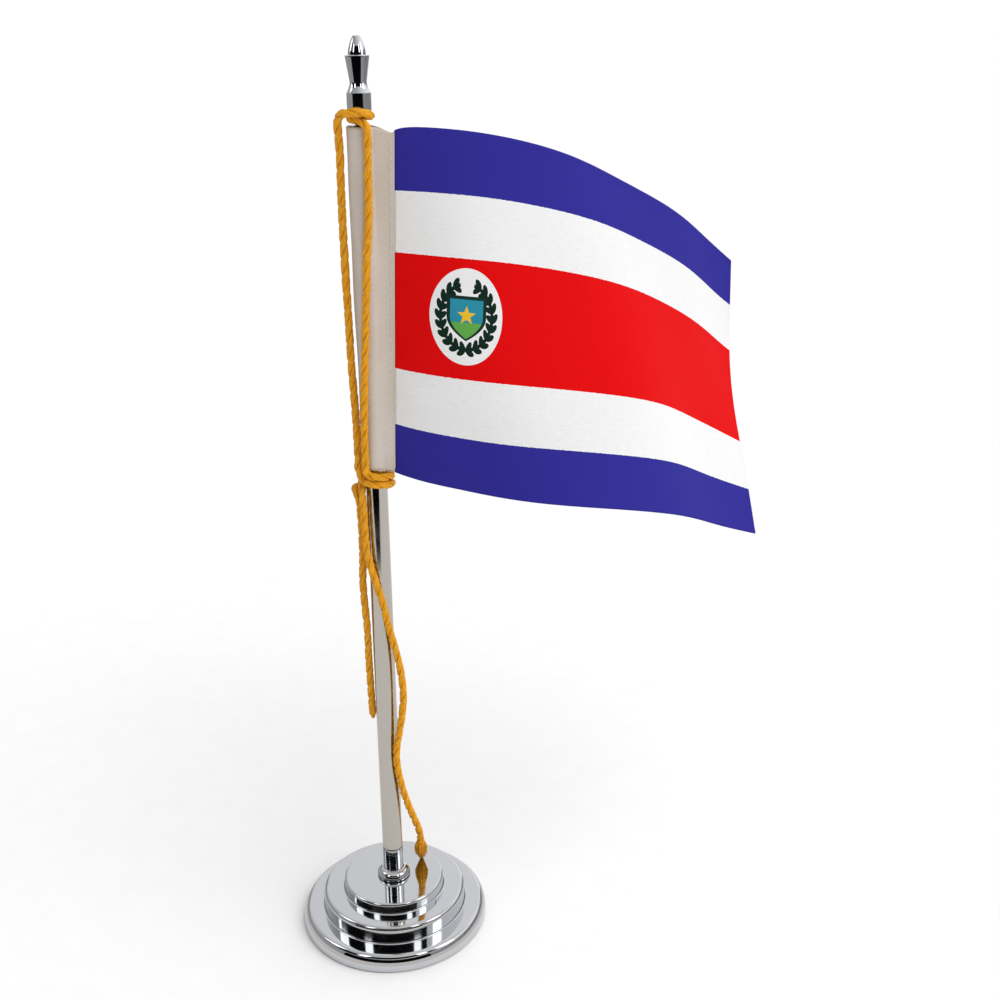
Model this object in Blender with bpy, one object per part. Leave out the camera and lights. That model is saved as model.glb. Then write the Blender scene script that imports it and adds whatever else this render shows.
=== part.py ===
"""Desk flag stand: a three-step chromed base, a chromed pole with a turned finial, and a small
printed flag that hangs on the pole by a cloth sleeve tied with a twisted cord.

Metres, +Z up. The origin is the centre of the base's underside, on the pole's axis, and the flag
flies towards +X. Angles are in degrees, counter-clockwise from +X seen from above.
"""

import math

import bmesh
import bpy
from mathutils import Vector

MM = 0.001

# Gaps between pieces that touch on the real stand.
GAP = 0.3 * MM
CORD_GAP = 0.2 * MM

# Base: radius and tread height of each step, from the lowest up.
RIM_RADIUS = 30.8 * MM
MIDDLE_RADIUS = 23.7 * MM
TOP_RADIUS = 16.6 * MM
RIM_TREAD = 5.6 * MM
MIDDLE_TREAD = 11.6 * MM
TOP_TREAD = 15.3 * MM
RIM_FOOT = 0.4 * MM
RIM_ROUND_OUT = 2.4 * MM
RIM_ROUND_UP = 4.2 * MM
MIDDLE_ROUND = 1.5 * MM
TOP_ROUND = 0.9 * MM
SHELL_WALL = 1.0 * MM
PAD_THICKNESS = 1.6 * MM
PAD_EDGE = 0.3 * MM

# The screw that holds the foot, the shell and the ballast together.
SCREW_RADIUS = 1.9 * MM
SCREW_HOLE_RADIUS = 2.2 * MM
SCREW_HEAD_RADIUS = 3.6 * MM
SCREW_HEAD_HEIGHT = 2.2 * MM
SCREW_SOCKET_RADIUS = 1.5 * MM
SCREW_SOCKET_DEPTH = 1.2 * MM
WASHER_RADIUS = 4.6 * MM
WASHER_THICKNESS = 0.8 * MM
HEAD_ROOM = 0.5 * MM

# Foot ferrule: a domed flange, a collar as wide as the pole, and a spigot up into the tube.
DOME_RADIUS = 5.4 * MM
DOME_ROUND = 2.4 * MM
DOME_EDGE = 0.3 * MM
COLLAR_RADIUS = 3.35 * MM
COLLAR_LENGTH = 10.9 * MM
FOOT_SPIGOT_LENGTH = 13.5 * MM
FOOT_BORE_ROOF = 2.5 * MM
SCREW_END_ROOM = 0.5 * MM

# Pole and finial.
POLE_RADIUS = 3.3 * MM
POLE_WALL = 0.5 * MM
POLE_LENGTH = 231.3 * MM
SPIGOT_CHAMFER = 0.5 * MM
FINIAL_SPIGOT_LENGTH = 10.0 * MM
FINIAL_FLANGE_RADIUS = POLE_RADIUS
FINIAL_FLANGE_THICKNESS = 0.5 * MM
FINIAL_GROOVE_RADIUS = 1.3 * MM
FINIAL_GROOVE_HEIGHT = 3.7 * MM
FINIAL_COLLAR_RADIUS = 3.35 * MM
FINIAL_COLLAR_LENGTH = 4.6 * MM
FINIAL_NECK_RADIUS = 2.3 * MM
FINIAL_NECK_RISE = 2.0 * MM
FINIAL_CONE_RADIUS = 3.3 * MM
FINIAL_CONE_LENGTH = 7.0 * MM
FINIAL_RING_HEIGHT = 0.4 * MM
FINIAL_BUD_RADIUS = 2.3 * MM
FINIAL_BUD_LENGTH = 4.9 * MM
FINIAL_TIP_RADIUS = 1.0 * MM

# Flag: the printed cloth, and the sleeve that holds it on the pole.
FLAG_HEIGHT = 100.0 * MM
FLAG_LENGTH = 150.0 * MM
FLAG_THICKNESS = 0.5 * MM
FLAG_BELOW_GROOVE = 0.4 * MM
STRIPE_SHARES = (1, 1, 2, 1, 1)
HOIST_HEADING = -42.0
HOIST_REACH_TOP = 9.4 * MM
HOIST_REACH_BOTTOM = 6.4 * MM
SLEEVE_SLACK = 0.3 * MM
SLEEVE_CLOTH = 0.35 * MM
SLEEVE_STRIP_HALF = 0.3 * MM
SLEEVE_HEM_RISE = 2.9 * MM

# How the cloth hangs: its heading and its dip below level along the top and the bottom edge,
# each at the hoist, a third and two thirds of the way along, and at the fly.
HEADING_TOP = (-43.0, 7.0, 18.0, 12.0)
HEADING_BOTTOM = (-59.0, -17.0, 14.0, 7.0)
DIP_TOP = (0.0, 17.0, 26.0, 37.0)
DIP_BOTTOM = (11.0, 11.0, 22.0, 27.0)

# Cord: two-ply twisted, tied once under the finial and once below the sleeve.
CORD_DIAMETER = 2.2 * MM
CORD_STEP = 6.0 * MM
CORD_SIDES_RESOLUTION = 2

# Where the cord runs. Each row: millimetres from the pole's surface to the cord's centre, the
# heading round the pole, and the share of the way up or down its stretch.
# Up the sleeve, from its bottom to the flag's top.
LEFT_STRAND = (
    (2.02, 174.6, 0.020),
    (2.03, 173.5, 0.068),
    (2.00, 169.1, 0.177),
    (2.38, 165.7, 0.303),
    (2.49, 161.9, 0.428),
    (2.62, 158.2, 0.557),
    (2.75, 157.7, 0.706),
    (2.66, 157.3, 0.861),
    (2.53, 157.8, 0.933),
)
RIGHT_STRAND = (
    (2.16, 261.6, 0.974),
    (2.00, 259.1, 0.861),
    (1.99, 254.6, 0.751),
    (2.02, 244.4, 0.636),
    (2.05, 237.2, 0.525),
    (2.08, 228.0, 0.387),
    (2.04, 218.2, 0.253),
    (2.00, 211.9, 0.132),
    (2.03, 210.4, 0.047),
    (2.03, 210.4, 0.020),
)
# Up the finial's groove, from its floor to the collar: across the front, and out again.
TOP_TIE_FRONT = (
    (2.80, 164.0, -0.450),
    (3.05, 174.0, 0.350),
    (2.95, 190.0, 0.800),
    (2.44, 207.0, 0.920),
    (2.10, 226.0, 0.950),
    (1.74, 246.5, 0.920),
    (1.20, 268.0, 0.830),
    (0.45, 292.0, 0.680),
)
TOP_TIE_EXIT = (
    (-0.06, 236.3, 0.378),
    (1.18, 251.6, 0.230),
    (2.12, 260.4, -0.081),
)
# Down from the lower tie to the base's top tread.
LONG_TAIL = (
    (2.08, 189.6, 0.046),
    (2.00, 190.9, 0.077),
    (1.92, 192.2, 0.125),
    (1.85, 198.1, 0.176),
    (1.53, 220.0, 0.228),
    (1.58, 244.5, 0.280),
    (1.64, 263.0, 0.340),
    (1.98, 279.8, 0.385),
    (2.57, 293.1, 0.434),
    (3.10, 299.0, 0.483),
    (3.28, 298.1, 0.526),
    (2.72, 291.4, 0.575),
    (1.80, 281.3, 0.624),
    (1.52, 274.8, 0.663),
    (1.55, 278.3, 0.703),
    (1.54, 288.1, 0.732),
    (1.71, 298.6, 0.761),
    (2.22, 312.1, 0.792),
    (3.11, 325.8, 0.826),
    (4.52, 339.0, 0.862),
    (6.14, 350.2, 0.900),
    (7.50, 360.5, 0.939),
    (8.25, 365.5, 0.966),
    (8.38, 366.9, 0.984),
)
SHORT_TAIL = (
    (2.35, 120.0, 0.040),
    (3.15, 142.0, 0.037),
    (2.75, 158.0, 0.046),
    (2.09, 162.7, 0.060),
    (1.89, 160.9, 0.089),
    (1.76, 161.6, 0.127),
    (1.79, 160.5, 0.184),
    (2.18, 158.6, 0.238),
    (2.03, 156.8, 0.290),
    (1.67, 155.0, 0.338),
    (1.54, 150.3, 0.387),
    (1.58, 145.0, 0.438),
    (1.59, 139.1, 0.489),
    (1.58, 134.2, 0.536),
    (1.60, 129.2, 0.577),
)

# Fineness of the round and the draped shapes.
BASE_STEPS = 48
POLE_STEPS = 32
SMALL_STEPS = 24
CLOTH_COLUMNS = 24
ROWS_PER_STRIPE_SHARE = 2
SMOOTH_ANGLE = 40.0

# Levels that follow from the sizes above.
BALLAST_BOTTOM = PAD_THICKNESS + GAP
HEAD_BOTTOM = PAD_THICKNESS + HEAD_ROOM + GAP
HEAD_TOP = HEAD_BOTTOM + SCREW_HEAD_HEIGHT
WASHER_BOTTOM = HEAD_TOP + GAP
BALLAST_SEAT = WASHER_BOTTOM + WASHER_THICKNESS + GAP
FOOT_BOTTOM = TOP_TREAD + GAP
COLLAR_TOP = FOOT_BOTTOM + COLLAR_LENGTH
POLE_BOTTOM = COLLAR_TOP + GAP
POLE_TOP = POLE_BOTTOM + POLE_LENGTH
FINIAL_SEAT = POLE_TOP + GAP
SPIGOT_RADIUS = POLE_RADIUS - POLE_WALL - GAP
SLEEVE_INNER_RADIUS = POLE_RADIUS + SLEEVE_SLACK
SLEEVE_OUTER_RADIUS = SLEEVE_INNER_RADIUS + SLEEVE_CLOTH
GROOVE_BOTTOM = FINIAL_SEAT + FINIAL_FLANGE_THICKNESS
FLAG_TOP = GROOVE_BOTTOM - FLAG_BELOW_GROOVE
FLAG_BOTTOM = FLAG_TOP - FLAG_HEIGHT
SLEEVE_BOTTOM = FLAG_BOTTOM + SLEEVE_HEM_RISE

CORD_RADIUS = CORD_DIAMETER / 2
WRAP_RADIUS = POLE_RADIUS + CORD_RADIUS + CORD_GAP
TIE_LEVEL = SLEEVE_BOTTOM - CORD_RADIUS - 2 * CORD_GAP


def chrome(name):
    return make_material(name, (0.80, 0.81, 0.83), 0.08, 1.0)


def make_material(name, color, roughness, metallic=0.0):
    material = bpy.data.materials.new(name)
    material.use_nodes = True
    shader = material.node_tree.nodes["Principled BSDF"]
    shader.inputs["Base Color"].default_value = (*color, 1.0)
    shader.inputs["Roughness"].default_value = roughness
    shader.inputs["Metallic"].default_value = metallic
    material.diffuse_color = (*color, 1.0)
    return material


def polar(radius, heading, height):
    angle = math.radians(heading)
    return Vector((radius * math.cos(angle), radius * math.sin(angle), height))


def arc(centre, radii, start, end, count=6):
    """Points (r, z) on a quarter or less of an ellipse, both ends included."""
    points = []
    for i in range(count + 1):
        angle = math.radians(start + (end - start) * i / count)
        points.append((centre[0] + radii[0] * math.cos(angle), centre[1] + radii[1] * math.sin(angle)))
    return points


def add_object(name, mesh, material, base_height=0.0):
    mesh.materials.append(material)
    obj = bpy.data.objects.new(name, mesh)
    obj.location.z = base_height
    bpy.context.scene.collection.objects.link(obj)
    return obj


def turned(name, outline, material, steps, base_height=0.0):
    """A solid of revolution. The outline is a closed loop, or runs from the axis to the axis."""
    bm = bmesh.new()
    verts = [bm.verts.new((r, 0.0, z - base_height)) for r, z in outline]
    following = verts[1:] + (verts[:1] if min(r for r, _ in outline) > 0 else [])
    edges = [bm.edges.new(pair) for pair in zip(verts, following)]
    bmesh.ops.spin(
        bm, geom=verts + edges, cent=(0, 0, 0), axis=(0, 0, 1), angle=math.tau, steps=steps, use_merge=True
    )
    bmesh.ops.remove_doubles(bm, verts=bm.verts, dist=1e-7)
    bmesh.ops.recalc_face_normals(bm, faces=bm.faces)
    mesh = bpy.data.meshes.new(name)
    bm.to_mesh(mesh)
    bm.free()
    mesh.shade_smooth()
    mesh.set_sharp_from_angle(angle=math.radians(SMOOTH_ANGLE))
    return add_object(name, mesh, material, base_height)


def make_base_shell():
    """Pressed steel shell, open underneath, with a hole for the screw."""
    wall = SHELL_WALL
    rim_centre = (RIM_RADIUS - RIM_ROUND_OUT, RIM_TREAD - RIM_ROUND_UP)
    outline = [(RIM_RADIUS, RIM_FOOT)]
    outline += arc(rim_centre, (RIM_ROUND_OUT, RIM_ROUND_UP), 0, 90, 5)
    outline.append((MIDDLE_RADIUS, RIM_TREAD))
    outline += arc(
        (MIDDLE_RADIUS - MIDDLE_ROUND, MIDDLE_TREAD - MIDDLE_ROUND), (MIDDLE_ROUND, MIDDLE_ROUND), 0, 90, 4
    )
    outline.append((TOP_RADIUS, MIDDLE_TREAD))
    outline += arc((TOP_RADIUS - TOP_ROUND, TOP_TREAD - TOP_ROUND), (TOP_ROUND, TOP_ROUND), 0, 90, 4)
    outline += [(SCREW_HOLE_RADIUS, TOP_TREAD), (SCREW_HOLE_RADIUS, TOP_TREAD - wall)]
    outline += [(TOP_RADIUS - wall, TOP_TREAD - wall), (TOP_RADIUS - wall, MIDDLE_TREAD - wall)]
    outline += [(MIDDLE_RADIUS - wall, MIDDLE_TREAD - wall), (MIDDLE_RADIUS - wall, RIM_TREAD - wall)]
    outline += arc(rim_centre, (RIM_ROUND_OUT - wall, RIM_ROUND_UP - wall), 90, 0, 3)
    outline.append((RIM_RADIUS - wall, RIM_FOOT))
    return turned("base_shell", outline, chrome("shell chrome"), BASE_STEPS)


def make_base_weight():
    """Cast ballast that fills the shell's steps, with a counterbore for the washer and the head."""
    inset = SHELL_WALL + GAP
    rim_side = RIM_RADIUS - RIM_ROUND_OUT - inset
    outline = [
        (SCREW_HOLE_RADIUS, TOP_TREAD - inset),
        (TOP_RADIUS - inset, TOP_TREAD - inset),
        (TOP_RADIUS - inset, MIDDLE_TREAD - inset),
        (MIDDLE_RADIUS - inset, MIDDLE_TREAD - inset),
        (MIDDLE_RADIUS - inset, RIM_TREAD - inset),
        (rim_side, RIM_TREAD - inset),
        (rim_side, BALLAST_BOTTOM),
        (WASHER_RADIUS + GAP, BALLAST_BOTTOM),
        (WASHER_RADIUS + GAP, BALLAST_SEAT),
        (SCREW_HOLE_RADIUS, BALLAST_SEAT),
    ]
    material = make_material("cast iron", (0.12, 0.12, 0.13), 0.7, 1.0)
    return turned("base_weight", outline, material, BASE_STEPS)


def make_base_pad():
    """Felt disc, glued under the ballast. It stands a little below the shell's rim."""
    radius = RIM_RADIUS - SHELL_WALL - GAP
    outline = [
        (0.0, 0.0),
        (radius - PAD_EDGE, 0.0),
        (radius, PAD_EDGE),
        (radius, PAD_THICKNESS),
        (0.0, PAD_THICKNESS),
    ]
    return turned("base_pad", outline, make_material("felt", (0.03, 0.03, 0.035), 0.95), BASE_STEPS)


def make_base_screw():
    """Pan-head screw with a hexagon socket, up through the ballast and the shell into the foot."""
    end = COLLAR_TOP - FOOT_BORE_ROOF - SCREW_END_ROOM
    outline = [
        (0.0, HEAD_BOTTOM),
        (SCREW_HEAD_RADIUS * 0.7, HEAD_BOTTOM),
        (SCREW_HEAD_RADIUS, HEAD_BOTTOM + SCREW_HEAD_HEIGHT * 0.4),
        (SCREW_HEAD_RADIUS, HEAD_TOP),
        (SCREW_RADIUS, HEAD_TOP),
        (SCREW_RADIUS, end - SPIGOT_CHAMFER),
        (SCREW_RADIUS - SPIGOT_CHAMFER, end),
        (0.0, end),
    ]
    material = make_material("zinc-plated screw", (0.62, 0.63, 0.64), 0.3, 1.0)
    screw = turned("base_screw", outline, material, SMALL_STEPS)
    cutter_mesh = bpy.data.meshes.new("socket_cutter")
    bm = bmesh.new()
    bmesh.ops.create_cone(
        bm,
        cap_ends=True,
        segments=6,
        radius1=SCREW_SOCKET_RADIUS,
        radius2=SCREW_SOCKET_RADIUS,
        depth=2 * SCREW_SOCKET_DEPTH,
    )
    bm.to_mesh(cutter_mesh)
    bm.free()
    cutter = bpy.data.objects.new("socket_cutter", cutter_mesh)
    cutter.location.z = HEAD_BOTTOM
    cutter.hide_render = True
    cutter.display_type = "WIRE"
    bpy.context.scene.collection.objects.link(cutter)
    socket = screw.modifiers.new("socket", "BOOLEAN")
    socket.operation = "DIFFERENCE"
    socket.object = cutter
    return screw


def make_base_washer():
    top = WASHER_BOTTOM + WASHER_THICKNESS
    outline = [
        (SCREW_HOLE_RADIUS, WASHER_BOTTOM),
        (WASHER_RADIUS, WASHER_BOTTOM),
        (WASHER_RADIUS, top),
        (SCREW_HOLE_RADIUS, top),
    ]
    material = make_material("zinc-plated washer", (0.62, 0.63, 0.64), 0.35, 1.0)
    return turned("base_washer", outline, material, SMALL_STEPS)


def make_foot_ferrule():
    """Turned foot: its blind bore takes the screw, and its spigot stands in the pole."""
    bore_end = COLLAR_TOP - FOOT_BORE_ROOF
    spigot_top = COLLAR_TOP + FOOT_SPIGOT_LENGTH
    dome_centre = (DOME_RADIUS - DOME_ROUND, FOOT_BOTTOM + DOME_EDGE)
    meets_collar = math.degrees(math.acos((COLLAR_RADIUS - dome_centre[0]) / DOME_ROUND))
    outline = [(0.0, bore_end), (SCREW_HOLE_RADIUS, bore_end), (SCREW_HOLE_RADIUS, FOOT_BOTTOM)]
    outline.append((DOME_RADIUS, FOOT_BOTTOM))
    outline += arc(dome_centre, (DOME_ROUND, DOME_ROUND), 0, meets_collar)
    outline += [(COLLAR_RADIUS, COLLAR_TOP), (SPIGOT_RADIUS, COLLAR_TOP)]
    outline += [(SPIGOT_RADIUS, spigot_top - SPIGOT_CHAMFER), (SPIGOT_RADIUS - SPIGOT_CHAMFER, spigot_top)]
    outline.append((0.0, spigot_top))
    return turned("foot_ferrule", outline, chrome("foot chrome"), POLE_STEPS)


def make_pole_tube():
    inner = POLE_RADIUS - POLE_WALL
    outline = [(POLE_RADIUS, POLE_BOTTOM), (POLE_RADIUS, POLE_TOP), (inner, POLE_TOP), (inner, POLE_BOTTOM)]
    return turned("pole_tube", outline, chrome("pole chrome"), POLE_STEPS, POLE_BOTTOM)


def make_finial():
    """Turned finial: spigot, flange, cord groove, collar, flared neck, inverted cone and bud."""
    collar_bottom = GROOVE_BOTTOM + FINIAL_GROOVE_HEIGHT
    collar_top = collar_bottom + FINIAL_COLLAR_LENGTH
    neck = collar_top + FINIAL_NECK_RISE
    ring = neck + FINIAL_CONE_LENGTH
    bud = ring + FINIAL_RING_HEIGHT
    spigot_end = FINIAL_SEAT - FINIAL_SPIGOT_LENGTH
    outline = [(0.0, spigot_end), (SPIGOT_RADIUS - SPIGOT_CHAMFER, spigot_end)]
    outline += [(SPIGOT_RADIUS, spigot_end + SPIGOT_CHAMFER), (SPIGOT_RADIUS, FINIAL_SEAT)]
    outline += [(FINIAL_FLANGE_RADIUS, FINIAL_SEAT), (FINIAL_FLANGE_RADIUS, GROOVE_BOTTOM)]
    outline += [(FINIAL_GROOVE_RADIUS, GROOVE_BOTTOM), (FINIAL_GROOVE_RADIUS, collar_bottom)]
    outline += [(FINIAL_COLLAR_RADIUS, collar_bottom), (FINIAL_COLLAR_RADIUS, collar_top)]
    outline += arc(
        (FINIAL_COLLAR_RADIUS, neck),
        (FINIAL_COLLAR_RADIUS - FINIAL_NECK_RADIUS, FINIAL_NECK_RISE * 0.85),
        -100,
        -180,
        4,
    )
    outline += [(FINIAL_CONE_RADIUS, ring), (FINIAL_CONE_RADIUS, bud), (FINIAL_BUD_RADIUS, bud)]
    outline += arc(
        (FINIAL_TIP_RADIUS, bud), (FINIAL_BUD_RADIUS - FINIAL_TIP_RADIUS, FINIAL_BUD_LENGTH), 12, 90, 5
    )
    outline.append((0.0, bud + FINIAL_BUD_LENGTH))
    return turned("finial", outline, chrome("finial chrome"), POLE_STEPS, POLE_TOP)


def through_all(values, share):
    """The smooth value at this share of the way, on the curve through evenly spaced values."""
    last = len(values) - 1
    total = 0.0
    for i, value in enumerate(values):
        weight = 1.0
        for j in range(len(values)):
            if j != i:
                weight *= (share * last - j) / (i - j)
        total += value * weight
    return total


def blend(first, second, share):
    return first * (1 - share) + second * share


def hoist_reach(drop):
    """Distance from the pole's axis to the hoist edge, at this share of the way down."""
    return blend(HOIST_REACH_TOP, HOIST_REACH_BOTTOM, drop)


def cloth_direction(along, drop):
    heading = blend(through_all(HEADING_TOP, along), through_all(HEADING_BOTTOM, along), drop)
    dip = blend(through_all(DIP_TOP, along), through_all(DIP_BOTTOM, along), drop)
    return polar(math.cos(math.radians(dip)), heading, -math.sin(math.radians(dip)))


def cloth_row(drop, columns):
    """Points from hoist to fly along one level thread of the cloth."""
    start = hoist_reach(drop) + GAP
    points = [polar(start, HOIST_HEADING, blend(FLAG_TOP, FLAG_BOTTOM, drop))]
    step = FLAG_LENGTH / columns
    for i in range(columns):
        points.append(points[-1] + step * cloth_direction((i + 0.5) / columns, drop))
    return points


def make_flag_panel():
    """The printed cloth, as one thin sheet with a material for each stripe."""
    rows = sum(STRIPE_SHARES) * ROWS_PER_STRIPE_SHARE
    bm = bmesh.new()
    grid = [[bm.verts.new(p) for p in cloth_row(row / rows, CLOTH_COLUMNS)] for row in range(rows + 1)]
    stripe_of_row = []
    for stripe, share in enumerate(STRIPE_SHARES):
        stripe_of_row += [min(stripe, len(STRIPE_SHARES) - 1 - stripe)] * (share * ROWS_PER_STRIPE_SHARE)
    for row in range(rows):
        for column in range(CLOTH_COLUMNS):
            face = bm.faces.new(
                (
                    grid[row][column],
                    grid[row + 1][column],
                    grid[row + 1][column + 1],
                    grid[row][column + 1],
                )
            )
            face.material_index = stripe_of_row[row]
    mesh = bpy.data.meshes.new("flag_panel")
    bm.to_mesh(mesh)
    bm.free()
    mesh.shade_smooth()
    flag = add_object("flag_panel", mesh, make_material("blue print", (0.03, 0.02, 0.28), 0.6))
    mesh.materials.append(make_material("white cloth", (0.82, 0.82, 0.83), 0.65))
    mesh.materials.append(make_material("red print", (0.78, 0.01, 0.015), 0.6))
    solid = flag.modifiers.new("cloth", "SOLIDIFY")
    solid.thickness = FLAG_THICKNESS
    solid.offset = 0.0
    return flag


def sleeve_loop(height, drop):
    """(inner, outer) loops of the sleeve's cross-section: a tube with a flat strip to the hoist."""
    reach = hoist_reach(drop)
    strip_side = math.degrees(math.asin(SLEEVE_STRIP_HALF / reach))
    root = SLEEVE_OUTER_RADIUS + 3 * SLEEVE_STRIP_HALF
    root_side = math.degrees(math.asin(SLEEVE_STRIP_HALF / root))
    corners = [
        (-18.0, SLEEVE_OUTER_RADIUS),
        (-root_side, root),
        (-strip_side, reach),
        (strip_side, reach),
        (root_side, root),
        (18.0, SLEEVE_OUTER_RADIUS),
    ]
    spread = (360.0 - 36.0) / 20
    corners += [(18.0 + spread * i, SLEEVE_OUTER_RADIUS) for i in range(1, 20)]
    outer = [polar(radius, HOIST_HEADING + turn, height) for turn, radius in corners]
    inner = [polar(SLEEVE_INNER_RADIUS, HOIST_HEADING + turn, height) for turn, _ in corners]
    return inner, outer


def make_hoist_sleeve():
    """The white sleeve: cloth folded round the pole and sewn to the printed cloth's hoist edge."""
    levels = 9
    bm = bmesh.new()
    loops = []
    for i in range(levels):
        height = blend(FLAG_TOP, SLEEVE_BOTTOM, i / (levels - 1))
        drop = (FLAG_TOP - height) / FLAG_HEIGHT
        inner, outer = sleeve_loop(height, drop)
        loops.append(([bm.verts.new(p) for p in inner], [bm.verts.new(p) for p in outer]))
    count = len(loops[0][0])
    for i in range(count):
        j = (i + 1) % count
        for (inner, outer), (lower_inner, lower_outer) in zip(loops, loops[1:]):
            bm.faces.new((outer[i], lower_outer[i], lower_outer[j], outer[j]))
            bm.faces.new((inner[i], inner[j], lower_inner[j], lower_inner[i]))
        for inner, outer in (loops[0], loops[-1]):
            bm.faces.new((inner[i], outer[i], outer[j], inner[j]))
    bmesh.ops.recalc_face_normals(bm, faces=bm.faces)
    mesh = bpy.data.meshes.new("hoist_sleeve")
    bm.to_mesh(mesh)
    bm.free()
    mesh.shade_smooth()
    mesh.set_sharp_from_angle(angle=math.radians(SMOOTH_ANGLE))
    return add_object("hoist_sleeve", mesh, make_material("sleeve cloth", (0.78, 0.78, 0.77), 0.8))


def smooth_route(points):
    """Points of a Catmull-Rom curve through these, with no step longer than the cord step."""
    ends = [2 * points[0] - points[1], *points, 2 * points[-1] - points[-2]]
    route = [points[0]]
    for before, start, end, after in zip(ends, ends[1:], ends[2:], ends[3:]):
        pieces = max(1, math.ceil((end - start).length / CORD_STEP))
        for i in range(1, pieces + 1):
            t = i / pieces
            route.append(
                0.5
                * (
                    2 * start
                    + (end - before) * t
                    + (2 * before - 5 * start + 4 * end - after) * t**2
                    + (3 * start - before - 3 * end + after) * t**3
                )
            )
    return route


def make_cord(name, points):
    curve = bpy.data.curves.new(name, "CURVE")
    curve.dimensions = "3D"
    curve.bevel_depth = CORD_RADIUS
    curve.bevel_resolution = CORD_SIDES_RESOLUTION
    curve.use_fill_caps = True
    route = smooth_route(points)
    spline = curve.splines.new("POLY")
    spline.points.add(len(route) - 1)
    for point, place in zip(spline.points, route):
        point.co = (*place, 1.0)
    spline.use_smooth = True
    curve.materials.append(make_material("gold cord", (0.80, 0.36, 0.01), 0.75))
    obj = bpy.data.objects.new(name, curve)
    bpy.context.scene.collection.objects.link(obj)
    return obj


def turn_round_pole(radius, headings, levels, count):
    """Points of a turn round the pole, from the first heading and level to the second."""
    shares = [i / (count - 1) for i in range(count)]
    return [polar(radius, blend(*headings, share), blend(*levels, share)) for share in shares]


def along_pole(rows, start_level, end_level):
    """The points of one stretch of cord, from its rows."""
    return [
        polar(POLE_RADIUS + clear * MM, heading, blend(start_level, end_level, share))
        for clear, heading, share in rows
    ]


def past_hem(heading):
    """Points that bring a strand down past the sleeve's hem to the lower tie."""
    radius = SLEEVE_OUTER_RADIUS + CORD_RADIUS + 2 * CORD_GAP
    levels = (SLEEVE_BOTTOM + 1.5 * MM, SLEEVE_BOTTOM + CORD_GAP)
    return [polar(radius, heading, level) for level in levels]


def make_cords():
    """One cord: tied round the pole under the finial, down both sides of the sleeve, tied round the
    pole again below it, and hanging from that tie in two tails."""
    groove_top = GROOVE_BOTTOM + FINIAL_GROOVE_HEIGHT
    loop = along_pole(LEFT_STRAND, SLEEVE_BOTTOM, FLAG_TOP)
    loop += along_pole(TOP_TIE_FRONT, GROOVE_BOTTOM, groove_top)
    loop += turn_round_pole(
        FINIAL_GROOVE_RADIUS + CORD_RADIUS + CORD_GAP,
        (-30, 210),
        (groove_top - CORD_RADIUS - CORD_GAP, GROOVE_BOTTOM + CORD_RADIUS + 2 * CORD_GAP),
        9,
    )
    loop += along_pole(TOP_TIE_EXIT, GROOVE_BOTTOM, groove_top)
    loop += along_pole(RIGHT_STRAND, SLEEVE_BOTTOM, FLAG_TOP)
    make_cord("halyard_loop", loop)

    pitch = 2 * (CORD_DIAMETER + CORD_GAP)
    long_turn = turn_round_pole(WRAP_RADIUS, (-140, 170), (TIE_LEVEL, TIE_LEVEL - pitch * 310 / 360), 12)
    long_tail = along_pole(LONG_TAIL, TIE_LEVEL, TOP_TREAD)
    make_cord("halyard_long_tail", past_hem(-149.6) + long_turn + long_tail)

    short_level = TIE_LEVEL - pitch / 2
    short_turn = turn_round_pole(
        WRAP_RADIUS, (-174, 95), (short_level + pitch * 34 / 360, short_level - pitch * 235 / 360), 10
    )
    short_tail = along_pole(SHORT_TAIL, TIE_LEVEL, TOP_TREAD)
    make_cord("halyard_short_tail", past_hem(174.6) + short_turn + short_tail)


def add_pivot(name, height, children):
    """An empty on the pole's axis that carries the pieces which move together."""
    pivot = bpy.data.objects.new(name, None)
    pivot.empty_display_size = 10 * MM
    pivot.location.z = height
    bpy.context.scene.collection.objects.link(pivot)
    bpy.context.view_layer.update()
    for child in children:
        child.parent = pivot
        child.matrix_parent_inverse = pivot.matrix_world.inverted()
    return pivot


def main():
    for obj in list(bpy.data.objects):
        bpy.data.objects.remove(obj, do_unlink=True)
    make_base_shell()
    make_base_weight()
    make_base_pad()
    make_base_screw()
    make_base_washer()
    make_foot_ferrule()
    pole = make_pole_tube()
    finial = make_finial()
    sleeve = make_hoist_sleeve()
    panel = make_flag_panel()
    make_cords()
    cords = [bpy.data.objects[n] for n in ("halyard_loop", "halyard_long_tail", "halyard_short_tail")]
    flag_pivot = add_pivot("flag_pivot", SLEEVE_BOTTOM, [sleeve, panel, *cords])
    finial_pivot = add_pivot("finial_pivot", FINIAL_SEAT, [finial, flag_pivot])
    add_pivot("pole_pivot", POLE_BOTTOM, [pole, finial_pivot])


main()
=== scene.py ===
"""Desk flag stand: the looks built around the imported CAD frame.

Metres, +Z up, in the frame's own coordinates: the origin is the centre of the base's underside, on
the pole's axis. Headings are degrees counter-clockwise from +X, seen from above.
"""

import logging
import math
import random
from dataclasses import dataclass
from enum import Enum
from typing import Any, Mapping, Sequence

import bpy
import numpy as np
from mathutils import Matrix, Vector


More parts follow.
